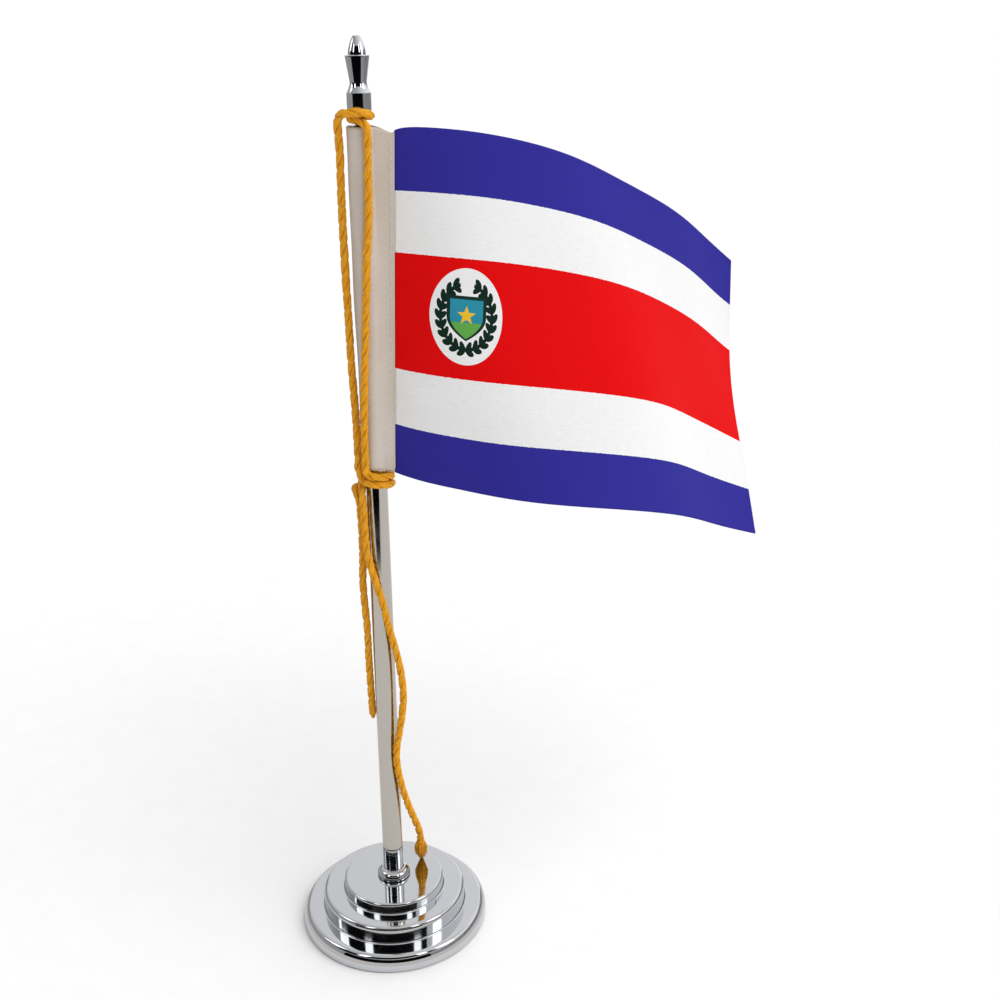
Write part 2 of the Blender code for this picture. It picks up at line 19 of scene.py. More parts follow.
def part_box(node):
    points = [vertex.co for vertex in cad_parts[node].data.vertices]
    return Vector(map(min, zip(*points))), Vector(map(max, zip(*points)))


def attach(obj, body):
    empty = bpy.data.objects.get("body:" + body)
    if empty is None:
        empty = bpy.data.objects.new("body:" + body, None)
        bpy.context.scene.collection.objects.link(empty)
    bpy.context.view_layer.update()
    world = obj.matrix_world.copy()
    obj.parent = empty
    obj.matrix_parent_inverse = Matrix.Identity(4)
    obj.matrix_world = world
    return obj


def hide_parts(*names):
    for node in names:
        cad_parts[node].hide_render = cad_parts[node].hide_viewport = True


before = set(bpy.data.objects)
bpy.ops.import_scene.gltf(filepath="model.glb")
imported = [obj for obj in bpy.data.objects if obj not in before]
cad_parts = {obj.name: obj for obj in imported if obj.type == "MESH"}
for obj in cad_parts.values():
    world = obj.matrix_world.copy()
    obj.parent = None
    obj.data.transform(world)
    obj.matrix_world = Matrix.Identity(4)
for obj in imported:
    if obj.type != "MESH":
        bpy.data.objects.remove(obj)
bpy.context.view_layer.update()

LOG = logging.getLogger("desk_flag_stand")
MM = 0.001
Points = np.ndarray
Socket = bpy.types.NodeSocket


# ---------------------------------------------------------------- small helpers


def linear(code: str) -> tuple[float, float, float, float]:
    """Turns an sRGB hex colour into linear RGBA.

    Args:
        code: six hex digits, such as "C4C5C7".

    Returns:
        Linear red, green, blue and an alpha of one.
    """
    channels = []
    for start in (0, 2, 4):
        value = int(code[start : start + 2], 16) / 255
        channels.append(value / 12.92 if value <= 0.04045 else ((value + 0.055) / 1.055) ** 2.4)
    return (channels[0], channels[1], channels[2], 1.0)


def blend(first: Any, second: Any, share: Any) -> Any:
    """The value this share of the way from the first to the second."""
    return first * (1 - share) + second * share


def smooth_step(value: Any) -> Any:
    """Rises smoothly from 0 to 1 as the value goes from 0 to 1."""
    held = np.clip(value, 0.0, 1.0)
    return held * held * (3 - 2 * held)


def polar(radius: float, heading: float, height: float) -> Vector:
    """The point at this distance, heading and height from the pole's axis."""
    angle = math.radians(heading)
    return Vector((radius * math.cos(angle), radius * math.sin(angle), height))


def add_node(
    tree: bpy.types.NodeTree,
    kind: str,
    settings: Mapping[str, Any] | None = None,
    inputs: Mapping[Any, Any] | Sequence[Any] | None = None,
) -> bpy.types.Node:
    """Adds one node, with its settings and its links.

    Args:
        tree: the node tree that it joins.
        kind: the node's Blender type.
        settings: values for the node's own properties.
        inputs: for each input's name or index, or in order, a socket to link, a node whose first
            output is linked, or a value to hold.

    Returns:
        The new node.
    """
    node = tree.nodes.new(kind)
    for name, value in (settings or {}).items():
        setattr(node, name, value)
    for key, value in inputs.items() if isinstance(inputs, Mapping) else enumerate(inputs or ()):
        if isinstance(value, bpy.types.Node):
            tree.links.new(value.outputs[0], node.inputs[key])
        elif isinstance(value, bpy.types.NodeSocket):
            tree.links.new(value, node.inputs[key])
        else:
            node.inputs[key].default_value = value
    return node


def add_mesh(
    name: str,
    points: Points,
    faces: Sequence[Sequence[int]],
    material: bpy.types.Material,
    uv: Points | None = None,
) -> bpy.types.Object:
    """Makes a smooth mesh object.

    Args:
        name: the piece's name.
        points: its vertices, one row each.
        faces: the vertex numbers of each face.
        material: its finish.
        uv: a map coordinate for each vertex, in metres of cloth or yarn.

    Returns:
        The new object.
    """
    mesh = bpy.data.meshes.new(name)
    mesh.from_pydata([tuple(p) for p in points], [], [tuple(f) for f in faces])
    mesh.validate()
    if uv is not None:
        layer = mesh.uv_layers.new(name="cloth")
        index = np.empty(len(mesh.loops), dtype=np.int32)
        mesh.loops.foreach_get("vertex_index", index)
        layer.data.foreach_set("uv", np.asarray(uv, dtype=np.float32)[index].ravel())
    mesh.shade_smooth()
    mesh.materials.append(material)
    piece = bpy.data.objects.new(name, mesh)
    bpy.context.scene.collection.objects.link(piece)
    return piece


# ---------------------------------------------------------------- finishes


def start_material(name: str) -> tuple[bpy.types.Material, bpy.types.NodeTree, bpy.types.Node]:
    """Makes a material with an empty Principled shader.

    Args:
        name: the material's name.

    Returns:
        The material, its node tree and its shader.
    """
    material = bpy.data.materials.new(name)
    material.use_nodes = True
    tree = material.node_tree
    tree.nodes.clear()
    shader = add_node(tree, "ShaderNodeBsdfPrincipled")
    add_node(tree, "ShaderNodeOutputMaterial", inputs={"Surface": shader.outputs["BSDF"]})
    return material, tree, shader


@dataclass(frozen=True)
class ChromePlate:
    """Bright decorative chrome, electroplated over a buffed part.

    It gives the eye a cool mirror: only faint buffing marks and a slight unevenness of the plate
    soften what it reflects.
    """

    name: str
    colour: str = "C8CACD"
    roughness: float = 0.06
    buffing_mm: float = 0.35
    orange_peel_mm: float = 9.0

    def build(self) -> bpy.types.Material:
        """Makes the material."""
        material, tree, shader = start_material(self.name)
        place = add_node(tree, "ShaderNodeTexCoord").outputs["Object"]
        # Buffing marks run round the part, so the noise is stretched along them.
        rings = add_node(
            tree,
            "ShaderNodeMapping",
            inputs={"Vector": place, "Scale": (0.12, 0.12, 1.0)},
        )
        marks = add_node(
            tree,
            "ShaderNodeTexNoise",
            inputs={"Vector": rings.outputs[0], "Scale": 1 / (self.buffing_mm * MM), "Detail": 3.0},
        )
        film = add_node(
            tree,
            "ShaderNodeTexNoise",
            inputs={"Vector": place, "Scale": 1 / (self.orange_peel_mm * MM), "Detail": 4.0},
        )
        gloss = add_node(
            tree,
            "ShaderNodeMapRange",
            inputs={
                "Value": film.outputs["Fac"],
                "From Min": 0.35,
                "From Max": 0.7,
                "To Min": self.roughness * 0.7,
                "To Max": self.roughness * 1.8,
            },
        )
        relief = add_node(
            tree,
            "ShaderNodeBump",
            inputs={"Height": marks.outputs["Fac"], "Strength": 0.04, "Distance": 0.02 * MM},
        )
        shader.inputs["Base Color"].default_value = linear(self.colour)
        shader.inputs["Metallic"].default_value = 1.0
        tree.links.new(gloss.outputs["Result"], shader.inputs["Roughness"])
        tree.links.new(relief.outputs["Normal"], shader.inputs["Normal"])
        return material


@dataclass(frozen=True)
class GrainyMetal:
    """Metal with an even grain: as cast, or zinc plated.

    It gives the eye a dull grey speckle with no clear reflection.
    """

    name: str
    dark: str
    light: str
    roughness: float
    grain_mm: float
    relief_mm: float

    def build(self) -> bpy.types.Material:
        """Makes the material."""
        material, tree, shader = start_material(self.name)
        place = add_node(tree, "ShaderNodeTexCoord").outputs["Object"]
        grain = add_node(
            tree,
            "ShaderNodeTexNoise",
            inputs={"Vector": place, "Scale": 1 / (self.grain_mm * MM), "Detail": 5.0},
        )
        tone = add_node(
            tree,
            "ShaderNodeMix",
            {"data_type": "RGBA"},
            {"Factor": grain.outputs["Fac"], "A": linear(self.dark), "B": linear(self.light)},
        )
        relief = add_node(
            tree,
            "ShaderNodeBump",
            inputs={"Height": grain.outputs["Fac"], "Strength": 0.6, "Distance": self.relief_mm * MM},
        )
        shader.inputs["Metallic"].default_value = 1.0
        shader.inputs["Roughness"].default_value = self.roughness
        tree.links.new(tone.outputs[2], shader.inputs["Base Color"])
        tree.links.new(relief.outputs["Normal"], shader.inputs["Normal"])
        return material


@dataclass(frozen=True)
class PressedFelt:
    """Wool felt, pressed flat: black, matt and slightly fluffy."""

    name: str = "pressed wool felt"
    dark: str = "141416"
    light: str = "26262A"
    tuft_mm: float = 0.8

    def build(self) -> bpy.types.Material:
        """Makes the material."""
        material, tree, shader = start_material(self.name)
        place = add_node(tree, "ShaderNodeTexCoord").outputs["Object"]
        tufts = add_node(
            tree,
            "ShaderNodeTexNoise",
            inputs={"Vector": place, "Scale": 1 / (self.tuft_mm * MM), "Detail": 8.0, "Roughness": 0.7},
        )
        tone = add_node(
            tree,
            "ShaderNodeMix",
            {"data_type": "RGBA"},
            {"Factor": tufts.outputs["Fac"], "A": linear(self.dark), "B": linear(self.light)},
        )
        relief = add_node(
            tree,
            "ShaderNodeBump",
            inputs={"Height": tufts.outputs["Fac"], "Strength": 0.8, "Distance": 0.15 * MM},
        )
        shader.inputs["Roughness"].default_value = 0.95
        shader.inputs["Sheen Weight"].default_value = 0.3
        tree.links.new(tone.outputs[2], shader.inputs["Base Color"])
        tree.links.new(relief.outputs["Normal"], shader.inputs["Normal"])
        return material


def cloth_place(tree: bpy.types.NodeTree) -> tuple[Socket, Socket]:
    """The place on the cloth, in metres along it and down it."""
    place = add_node(tree, "ShaderNodeUVMap", {"uv_map": "cloth"})
    parts = add_node(tree, "ShaderNodeSeparateXYZ", inputs={0: place.outputs["UV"]})
    return parts.outputs["X"], parts.outputs["Y"]


def weave_height(tree: bpy.types.NodeTree, along: Socket, down: Socket, thread_mm: float) -> Socket:
    """The height of a plain weave, from 0 to 1.

    Args:
        tree: the material's node tree.
        along: metres along the cloth.
        down: metres down the cloth.
        thread_mm: the distance between two threads.

    Returns:
        A socket that is high where a thread passes over.
    """
    turns = math.pi / (thread_mm * MM)
    over = add_node(
        tree,
        "ShaderNodeMath",
        {"operation": "SINE"},
        [add_node(tree, "ShaderNodeMath", {"operation": "MULTIPLY"}, [along, turns])],
    ).outputs[0]
    under = add_node(
        tree,
        "ShaderNodeMath",
        {"operation": "SINE"},
        [add_node(tree, "ShaderNodeMath", {"operation": "MULTIPLY"}, [down, turns])],
    ).outputs[0]
    return add_node(
        tree,
        "ShaderNodeMath",
        {"operation": "MULTIPLY_ADD"},
        [add_node(tree, "ShaderNodeMath", {"operation": "MULTIPLY"}, [over, under]), 0.5, 0.5],
    ).outputs[0]


def slub_tone(tree: bpy.types.NodeTree, along: Socket, down: Socket) -> Socket:
    """Short level flecks where thicker stretches of weft catch the light, from 0 to 1."""
    place = add_node(
        tree,
        "ShaderNodeCombineXYZ",
        inputs={
            "X": add_node(
                tree,
                "ShaderNodeMath",
                {"operation": "MULTIPLY"},
                [along, 1 / (3.2 * MM)],
            ).outputs[0],
            "Y": add_node(
                tree,
                "ShaderNodeMath",
                {"operation": "MULTIPLY"},
                [down, 1 / (0.42 * MM)],
            ).outputs[0],
        },
    )
    return add_node(
        tree,
        "ShaderNodeTexNoise",
        inputs={"Vector": place.outputs[0], "Scale": 1.0, "Detail": 2.0, "Roughness": 0.6},
    ).outputs["Fac"]


def finish_cloth(
    tree: bpy.types.NodeTree,
    shader: bpy.types.Node,
    colour: Socket,
    along: Socket,
    down: Socket,
    thread_mm: float,
    relief_mm: float,
) -> None:
    """Gives a shader the look of woven polyester: fine relief, painted shade in the weave's hollows, flecks of
    sheen and a soft edge.

    Args:
        tree: the material's node tree.
        shader: the shader to dress.
        colour: the dyed or printed colour.
        along: metres along the cloth.
        down: metres down the cloth.
        thread_mm: the distance between two threads.
        relief_mm: how far a thread stands above the next.
    """
    weave = weave_height(tree, along, down, thread_mm)
    flecks = slub_tone(tree, along, down)
    shade = add_node(
        tree,
        "ShaderNodeMath",
        {"operation": "MULTIPLY_ADD"},
        [flecks, 0.16, 0.92],
    ).outputs[0]
    # The weave's hollows are a little darker in colour: painted shade between the threads.
    threads = add_node(
        tree,
        "ShaderNodeMath",
        {"operation": "MULTIPLY_ADD"},
        [weave, 0.07, 0.965],
    ).outputs[0]
    toned = add_node(
        tree,
        "ShaderNodeVectorMath",
        {"operation": "SCALE"},
        {
            0: colour,
            "Scale": add_node(
                tree,
                "ShaderNodeMath",
                {"operation": "MULTIPLY"},
                [shade, threads],
            ).outputs[0],
        },
    )
    bump = add_node(
        tree,
        "ShaderNodeBump",
        inputs={
            "Height": add_node(
                tree,
                "ShaderNodeMath",
                {"operation": "MULTIPLY_ADD"},
                [flecks, 0.8, weave],
            ).outputs[0],
            "Strength": 0.5,
            "Distance": relief_mm * MM,
        },
    )
    tree.links.new(toned.outputs[0], shader.inputs["Base Color"])
    tree.links.new(bump.outputs["Normal"], shader.inputs["Normal"])
    shader.inputs["IOR"].default_value = 1.54
    shader.inputs["Roughness"].default_value = 0.72
    shader.inputs["Specular IOR Level"].default_value = 0.06
    shader.inputs["Sheen Weight"].default_value = 0.01


@dataclass(frozen=True)
class PlainPolyester:
    """White polyester, plain woven: the cloth of the sleeve.

    It gives the eye a soft off-white with a hint of thread, darkened and warmed by painted shade: the shade
    the sleeve lies in, and the warm light that the gold cord throws on it. The real threads are about 0.2 mm
    apart, too fine to show, so they are drawn at 0.45 mm.
    """

    name: str = "woven white polyester with painted shade"
    light: str = "D1C8BF"
    shade: str = "BFB4A7"
    thread_mm: float = 0.45

    def build(self) -> bpy.types.Material:
        """Makes the material."""
        material, tree, shader = start_material(self.name)
        along, down = cloth_place(tree)
        place = add_node(tree, "ShaderNodeTexCoord").outputs["Object"]
        patches = add_node(
            tree, "ShaderNodeTexNoise", inputs={"Vector": place, "Scale": 1 / (14 * MM), "Detail": 2.0}
        )
        # Both tones sit darker and warmer than the cloth's own off-white: painted shade, and painted warm
        # light from the gold cord. The patches between them differ at random.
        colour = add_node(
            tree,
            "ShaderNodeMix",
            {"data_type": "RGBA"},
            {"Factor": patches.outputs["Fac"], "A": linear(self.shade), "B": linear(self.light)},
        )
        finish_cloth(tree, shader, colour.outputs[2], along, down, self.thread_mm, 0.05)
        return material


@dataclass(frozen=True)
class Emblem:
    """A plain generic badge: a white oval with a wreath of leaves round a starred shield.

    Sizes are millimetres on the cloth. It is drawn by sums on the place, so it stays sharp.
    """

    from_hoist: float = 20.6
    below_top: float = 49.4
    half_width: float = 10.4
    half_height: float = 13.3
    wreath_width: float = 7.3
    wreath_height: float = 9.0
    leaf_turn: float = 16.5
    leaf_half_length: float = 1.42
    leaf_half_width: float = 0.76
    leaf_tilt: float = 42.0
    leaf_offset: float = 0.8
    open_top: float = 165.0
    shield_half_width: float = 4.9
    shield_half_height: float = 6.2
    star_radius: float = 2.7
    leaf_colour: str = "10291F"
    shield_colour: str = "2B8AA0"
    field_colour: str = "5FA34A"
    rim_colour: str = "16302A"
    star_colour: str = "E9B92C"

    def leaf(self, tree: bpy.types.NodeTree, round_mm: Socket, out_mm: Socket, side: float) -> Socket:
        """One leaf of each pair: 1 inside its oval.

        Args:
            tree: the material's node tree.
            round_mm: millimetres round the wreath from the pair's middle.
            out_mm: millimetres out from the wreath's stem.
            side: +1 for the outer leaf, -1 for the inner one.

        Returns:
            A socket that is 1 inside the leaf.
        """
        tilt = math.radians(self.leaf_tilt) * side
        outward = add_node(
            tree,
            "ShaderNodeMath",
            {"operation": "SUBTRACT"},
            [out_mm, self.leaf_offset * side],
        ).outputs[0]
        long_way = add_node(
            tree,
            "ShaderNodeMath",
            {"operation": "MULTIPLY_ADD"},
            [
                round_mm,
                math.cos(tilt) / self.leaf_half_length,
                add_node(
                    tree,
                    "ShaderNodeMath",
                    {"operation": "MULTIPLY"},
                    [outward, math.sin(tilt) / self.leaf_half_length],
                ),
            ],
        ).outputs[0]
        short_way = add_node(
            tree,
            "ShaderNodeMath",
            {"operation": "MULTIPLY_ADD"},
            [
                round_mm,
                -math.sin(tilt) / self.leaf_half_width,
                add_node(
                    tree,
                    "ShaderNodeMath",
                    {"operation": "MULTIPLY"},
                    [outward, math.cos(tilt) / self.leaf_half_width],
                ),
            ],
        ).outputs[0]
        reach = add_node(
            tree,
            "ShaderNodeMath",
            {"operation": "MULTIPLY_ADD"},
            [
                long_way,
                long_way,
                add_node(tree, "ShaderNodeMath", {"operation": "MULTIPLY"}, [short_way, short_way]),
            ],
        ).outputs[0]
        return add_node(tree, "ShaderNodeMath", {"operation": "LESS_THAN"}, [reach, 1.0]).outputs[0]

    def paint(self, tree: bpy.types.NodeTree, under: Socket, along: Socket, down: Socket) -> Socket:
        """Lays the badge over the stripes' colour.

        Args:
            tree: the material's node tree.
            under: the stripes' colour.
            along: metres along the cloth from the hoist.
            down: metres down the cloth from the top edge.

        Returns:
            The printed colour.
        """
        across = add_node(
            tree,
            "ShaderNodeMath",
            {"operation": "SUBTRACT"},
            [
                add_node(tree, "ShaderNodeMath", {"operation": "MULTIPLY"}, [along, 1 / MM]),
                self.from_hoist,
            ],
        ).outputs[0]
        rise = add_node(
            tree,
            "ShaderNodeMath",
            {"operation": "SUBTRACT"},
            [
                self.below_top,
                add_node(tree, "ShaderNodeMath", {"operation": "MULTIPLY"}, [down, 1 / MM]),
            ],
        ).outputs[0]

        def length(width: float, height: float) -> Socket:
            """How far out the place is, with 1 on the oval of these half sizes."""
            x = add_node(
                tree,
                "ShaderNodeMath",
                {"operation": "DIVIDE"},
                [across, width],
            ).outputs[0]
            y = add_node(tree, "ShaderNodeMath", {"operation": "DIVIDE"}, [rise, height]).outputs[0]
            return add_node(
                tree,
                "ShaderNodeMath",
                {"operation": "SQRT"},
                [
                    add_node(
                        tree,
                        "ShaderNodeMath",
                        {"operation": "MULTIPLY_ADD"},
                        [x, x, add_node(tree, "ShaderNodeMath", {"operation": "MULTIPLY"}, [y, y])],
                    ),
                ],
            ).outputs[0]

        def lay(colour: Socket, paint: str, where: Socket) -> Socket:
            """Paints one colour where the mask is 1."""
            return add_node(
                tree,
                "ShaderNodeMix",
                {"data_type": "RGBA"},
                {"Factor": where, "A": colour, "B": linear(paint)},
            ).outputs[2]

        inside = add_node(
            tree,
            "ShaderNodeMath",
            {"operation": "LESS_THAN"},
            [length(self.half_width, self.half_height), 1.0],
        ).outputs[0]
        colour = lay(under, PrintedPolyester.white, inside)

        # The wreath is mirrored left to right, and counted in degrees up from the bottom.
        mirrored = add_node(tree, "ShaderNodeMath", {"operation": "ABSOLUTE"}, [across]).outputs[0]
        turn = add_node(
            tree,
            "ShaderNodeMath",
            {"operation": "MULTIPLY"},
            [
                add_node(
                    tree,
                    "ShaderNodeMath",
                    {"operation": "ARCTAN2"},
                    [
                        add_node(
                            tree,
                            "ShaderNodeMath",
                            {"operation": "DIVIDE"},
                            [mirrored, self.wreath_width],
                        ),
                        add_node(
                            tree,
                            "ShaderNodeMath",
                            {"operation": "DIVIDE"},
                            [
                                add_node(
                                    tree,
                                    "ShaderNodeMath",
                                    {"operation": "MULTIPLY"},
                                    [rise, -1.0],
                                ),
                                self.wreath_height,
                            ],
                        ),
                    ],
                ),
                180 / math.pi,
            ],
        ).outputs[0]
        mean_radius = (self.wreath_width + self.wreath_height) / 2
        out_mm = add_node(
            tree,
            "ShaderNodeMath",
            {"operation": "MULTIPLY"},
            [
                add_node(
                    tree,
                    "ShaderNodeMath",
                    {"operation": "SUBTRACT"},
                    [length(self.wreath_width, self.wreath_height), 1.0],
                ),
                mean_radius,
            ],
        ).outputs[0]
        cell = add_node(
            tree,
            "ShaderNodeMath",
            {"operation": "FRACT"},
            [add_node(tree, "ShaderNodeMath", {"operation": "DIVIDE"}, [turn, self.leaf_turn])],
        ).outputs[0]
        cell_mm = math.radians(self.leaf_turn) * mean_radius
        round_mm = add_node(
            tree,
            "ShaderNodeMath",
            {"operation": "MULTIPLY"},
            [add_node(tree, "ShaderNodeMath", {"operation": "SUBTRACT"}, [cell, 0.5]), cell_mm],
        ).outputs[0]
        leaves = add_node(
            tree,
            "ShaderNodeMath",
            {"operation": "MAXIMUM"},
            [self.leaf(tree, round_mm, out_mm, 1.0), self.leaf(tree, round_mm, out_mm, -1.0)],
        ).outputs[0]
        stem = add_node(
            tree,
            "ShaderNodeMath",
            {"operation": "LESS_THAN"},
            [add_node(tree, "ShaderNodeMath", {"operation": "ABSOLUTE"}, [out_mm]), 0.5],
        ).outputs[0]
        wreath = add_node(
            tree,
            "ShaderNodeMath",
            {"operation": "MULTIPLY"},
            [
                add_node(tree, "ShaderNodeMath", {"operation": "MAXIMUM"}, [leaves, stem]),
                add_node(tree, "ShaderNodeMath", {"operation": "LESS_THAN"}, [turn, self.open_top]),
            ],
        ).outputs[0]
        colour = lay(colour, self.leaf_colour, wreath)

        # The shield is square-shouldered above its middle and pointed below it.
        low = add_node(
            tree,
            "ShaderNodeMath",
            {"operation": "MAXIMUM"},
            [add_node(tree, "ShaderNodeMath", {"operation": "MULTIPLY"}, [rise, -1.0]), 0.0],
        ).outputs[0]
        waist = add_node(
            tree,
            "ShaderNodeMath",
            {"operation": "SUBTRACT"},
            [
                self.shield_half_width,
                add_node(
                    tree,
                    "ShaderNodeMath",
                    {"operation": "MULTIPLY"},
                    [
                        add_node(tree, "ShaderNodeMath", {"operation": "MULTIPLY"}, [low, low]),
                        self.shield_half_width / self.shield_half_height ** 2,
                    ],
                ),
            ],
        ).outputs[0]
        side_room = add_node(
            tree,
            "ShaderNodeMath",
            {"operation": "SUBTRACT"},
            [waist, mirrored],
        ).outputs[0]
        top_room = add_node(
            tree,
            "ShaderNodeMath",
            {"operation": "SUBTRACT"},
            [self.shield_half_height * 0.82, rise],
        ).outputs[0]
        room = add_node(
            tree,
            "ShaderNodeMath",
            {"operation": "MINIMUM"},
            [side_room, top_room],
        ).outputs[0]
        colour = lay(
            colour,
            self.rim_colour,
            add_node(
                tree,
                "ShaderNodeMath",
                {"operation": "GREATER_THAN"},
                [room, -0.7],
            ).outputs[0],
        )
        colour = lay(
            colour,
            self.shield_colour,
            add_node(
                tree,
                "ShaderNodeMath",
                {"operation": "GREATER_THAN"},
                [room, 0.25],
            ).outputs[0],
        )
        lower_field = add_node(
            tree,
            "ShaderNodeMath",
            {"operation": "MULTIPLY"},
            [
                add_node(tree, "ShaderNodeMath", {"operation": "GREATER_THAN"}, [room, 0.25]),
                add_node(tree, "ShaderNodeMath", {"operation": "LESS_THAN"}, [rise, -1.5]),
            ],
        ).outputs[0]
        colour = lay(colour, self.field_colour, lower_field)

        # A five-pointed star, by folding the turn round its centre into one tenth.
        star_rise = add_node(
            tree,
            "ShaderNodeMath",
            {"operation": "SUBTRACT"},
            [rise, 0.4],
        ).outputs[0]
        star_turn = add_node(
            tree,
            "ShaderNodeMath",
            {"operation": "ARCTAN2"},
            [across, star_rise],
        ).outputs[0]
        fifth = math.tau / 5
        folded = add_node(
            tree,
            "ShaderNodeMath",
            {"operation": "ABSOLUTE"},
            [
                add_node(
                    tree,
                    "ShaderNodeMath",
                    {"operation": "WRAP"},
                    [star_turn, fifth / 2, -fifth / 2],
                ),
            ],
        ).outputs[0]
        radius = add_node(
            tree,
            "ShaderNodeMath",
            {"operation": "SQRT"},
            [
                add_node(
                    tree,
                    "ShaderNodeMath",
                    {"operation": "MULTIPLY_ADD"},
                    [
                        across,
                        across,
                        add_node(
                            tree,
                            "ShaderNodeMath",
                            {"operation": "MULTIPLY"},
                            [star_rise, star_rise],
                        ),
                    ],
                ),
            ],
        ).outputs[0]
        # Each edge runs from a tip to the notch beside it, which lies at 0.42 of the tip's radius.
        tip, notch = self.star_radius, 0.42 * self.star_radius
        edge = Vector((notch * math.cos(fifth / 2) - tip, notch * math.sin(fifth / 2)))
        outside = add_node(
            tree,
            "ShaderNodeMath",
            {"operation": "ADD"},
            [
                add_node(
                    tree,
                    "ShaderNodeMath",
                    {"operation": "MULTIPLY"},
                    [
                        add_node(
                            tree,
                            "ShaderNodeMath",
                            {"operation": "MULTIPLY"},
                            [
                                radius,
                                add_node(tree, "ShaderNodeMath", {"operation": "COSINE"}, [folded]),
                            ],
                        ),
                        edge.y,
                    ],
                ),
                add_node(
                    tree,
                    "ShaderNodeMath",
                    {"operation": "MULTIPLY"},
                    [
                        add_node(
                            tree,
                            "ShaderNodeMath",
                            {"operation": "MULTIPLY"},
                            [
                                radius,
                                add_node(tree, "ShaderNodeMath", {"operation": "SINE"}, [folded]),
                            ],
                        ),
                        -edge.x,
                    ],
                ),
            ],
        ).outputs[0]
        star = add_node(
            tree,
            "ShaderNodeMath",
            {"operation": "LESS_THAN"},
            [outside, tip * edge.y],
        ).outputs[0]
        return lay(colour, self.star_colour, star)


@dataclass(frozen=True)
class PrintedPolyester:
    """Fine polyester flag cloth, printed right through in level stripes.

    It gives the eye strong flat colour with a faint silky fleck along the weft. The real threads
    are about 0.2 mm apart, too fine to show, so they are drawn at 0.5 mm.
    """

    name: str = "printed polyester flag cloth"
    blue: str = "2E2A8E"
    white: str = "E6E6E6"
    red: str = "DA0205"
    height: float = 100 * MM
    shares: tuple[int, ...] = (1, 1, 2, 1, 1)
    thread_mm: float = 0.5
    emblem: Emblem = Emblem()

    def build(self) -> bpy.types.Material:
        """Makes the material."""
        material, tree, shader = start_material(self.name)
        along, down = cloth_place(tree)
        # The print bleeds a little along the threads, so each stripe's edge wavers by a thread.
        wander = add_node(
            tree,
            "ShaderNodeTexNoise",
            {"noise_dimensions": "1D"},
            {"W": along, "Scale": 1 / (1.2 * MM), "Detail": 2.0},
        )
        bled = add_node(
            tree,
            "ShaderNodeMath",
            {"operation": "ADD"},
            [
                down,
                add_node(
                    tree,
                    "ShaderNodeMath",
                    {"operation": "MULTIPLY"},
                    [
                        add_node(
                            tree,
                            "ShaderNodeMath",
                            {"operation": "SUBTRACT"},
                            [wander.outputs["Fac"], 0.5],
                        ),
                        0.22 * MM,
                    ],
                ),
            ],
        ).outputs[0]
        ramp = add_node(
            tree,
            "ShaderNodeValToRGB",
            inputs={
                "Fac": add_node(
                    tree,
                    "ShaderNodeMath",
                    {"operation": "DIVIDE"},
                    [bled, self.height],
                ).outputs[0],
            },
        )
        bands = ramp.color_ramp
        bands.interpolation = "CONSTANT"
        total = sum(self.shares)
        colours = (self.blue, self.white, self.red, self.white, self.blue)
        reached = 0
        for number, (share, code) in enumerate(zip(self.shares, colours)):
            stop = bands.elements[number] if number < 2 else bands.elements.new(reached / total)
            stop.position = reached / total
            stop.color = linear(code)
            reached += share
        printed = self.emblem.paint(tree, ramp.outputs["Color"], along, down)
        finish_cloth(tree, shader, printed, along, down, self.thread_mm, 0.05)
        return material


@dataclass(frozen=True)
class TwistedYarn:
    """Viscose yarn, spun and plied: the golden cord.

    It gives the eye a warm yellow, with painted shade in the gaps between the fibres that run along each ply.
    """

    name: str = "plied viscose yarn"
    bright: str = "F3AD18"
    gap_shade: str = "C07A0A"
    fibre_mm: float = 0.22

    def build(self) -> bpy.types.Material:
        """Makes the material."""
        material, tree, shader = start_material(self.name)
        along, round_ply = cloth_place(tree)
        # Fibres lie at a slant along the ply, and are drawn thicker than the real ones to show.
        slant = add_node(
            tree,
            "ShaderNodeMath",
            {"operation": "MULTIPLY_ADD"},
            [along, 0.35, round_ply],
        ).outputs[0]
        fibres = add_node(
            tree,
            "ShaderNodeTexNoise",
            inputs={
                "Vector": add_node(
                    tree,
                    "ShaderNodeCombineXYZ",
                    inputs={
                        "X": add_node(
                            tree,
                            "ShaderNodeMath",
                            {"operation": "MULTIPLY"},
                            [along, 1 / (2.4 * MM)],
                        ).outputs[0],
                        "Y": add_node(
                            tree,
                            "ShaderNodeMath",
                            {"operation": "MULTIPLY"},
                            [slant, 1 / (self.fibre_mm * MM)],
                        ).outputs[0],
                    },
                ).outputs[0],
                "Scale": 1.0,
                "Detail": 3.0,
                "Roughness": 0.65,
            },
        )
        tone = add_node(
            tree,
            "ShaderNodeMapRange",
            inputs={"Value": fibres.outputs["Fac"], "From Min": 0.36, "From Max": 0.6},
        )
        # The darker tone is painted shade in the gaps between fibres; the bright tone is the dyed gold.
        colour = add_node(
            tree,
            "ShaderNodeMix",
            {"data_type": "RGBA"},
            {"Factor": tone.outputs["Result"], "A": linear(self.gap_shade), "B": linear(self.bright)},
        )
        relief = add_node(
            tree,
            "ShaderNodeBump",
            inputs={"Height": fibres.outputs["Fac"], "Strength": 0.7, "Distance": 0.12 * MM},
        )
        tree.links.new(colour.outputs[2], shader.inputs["Base Color"])
        tree.links.new(relief.outputs["Normal"], shader.inputs["Normal"])
        shader.inputs["IOR"].default_value = 1.5
        shader.inputs["Roughness"].default_value = 0.6
        shader.inputs["Specular IOR Level"].default_value = 0.22
        shader.inputs["Sheen Weight"].default_value = 0.04
        return material


# ---------------------------------------------------------------- turned metal


@dataclass(frozen=True)
class Corner:
    """One corner of a turned outline: its radius from the axis, its height and its rounding, in mm."""

    radius: float
    height: float
    fillet: float = 0.0


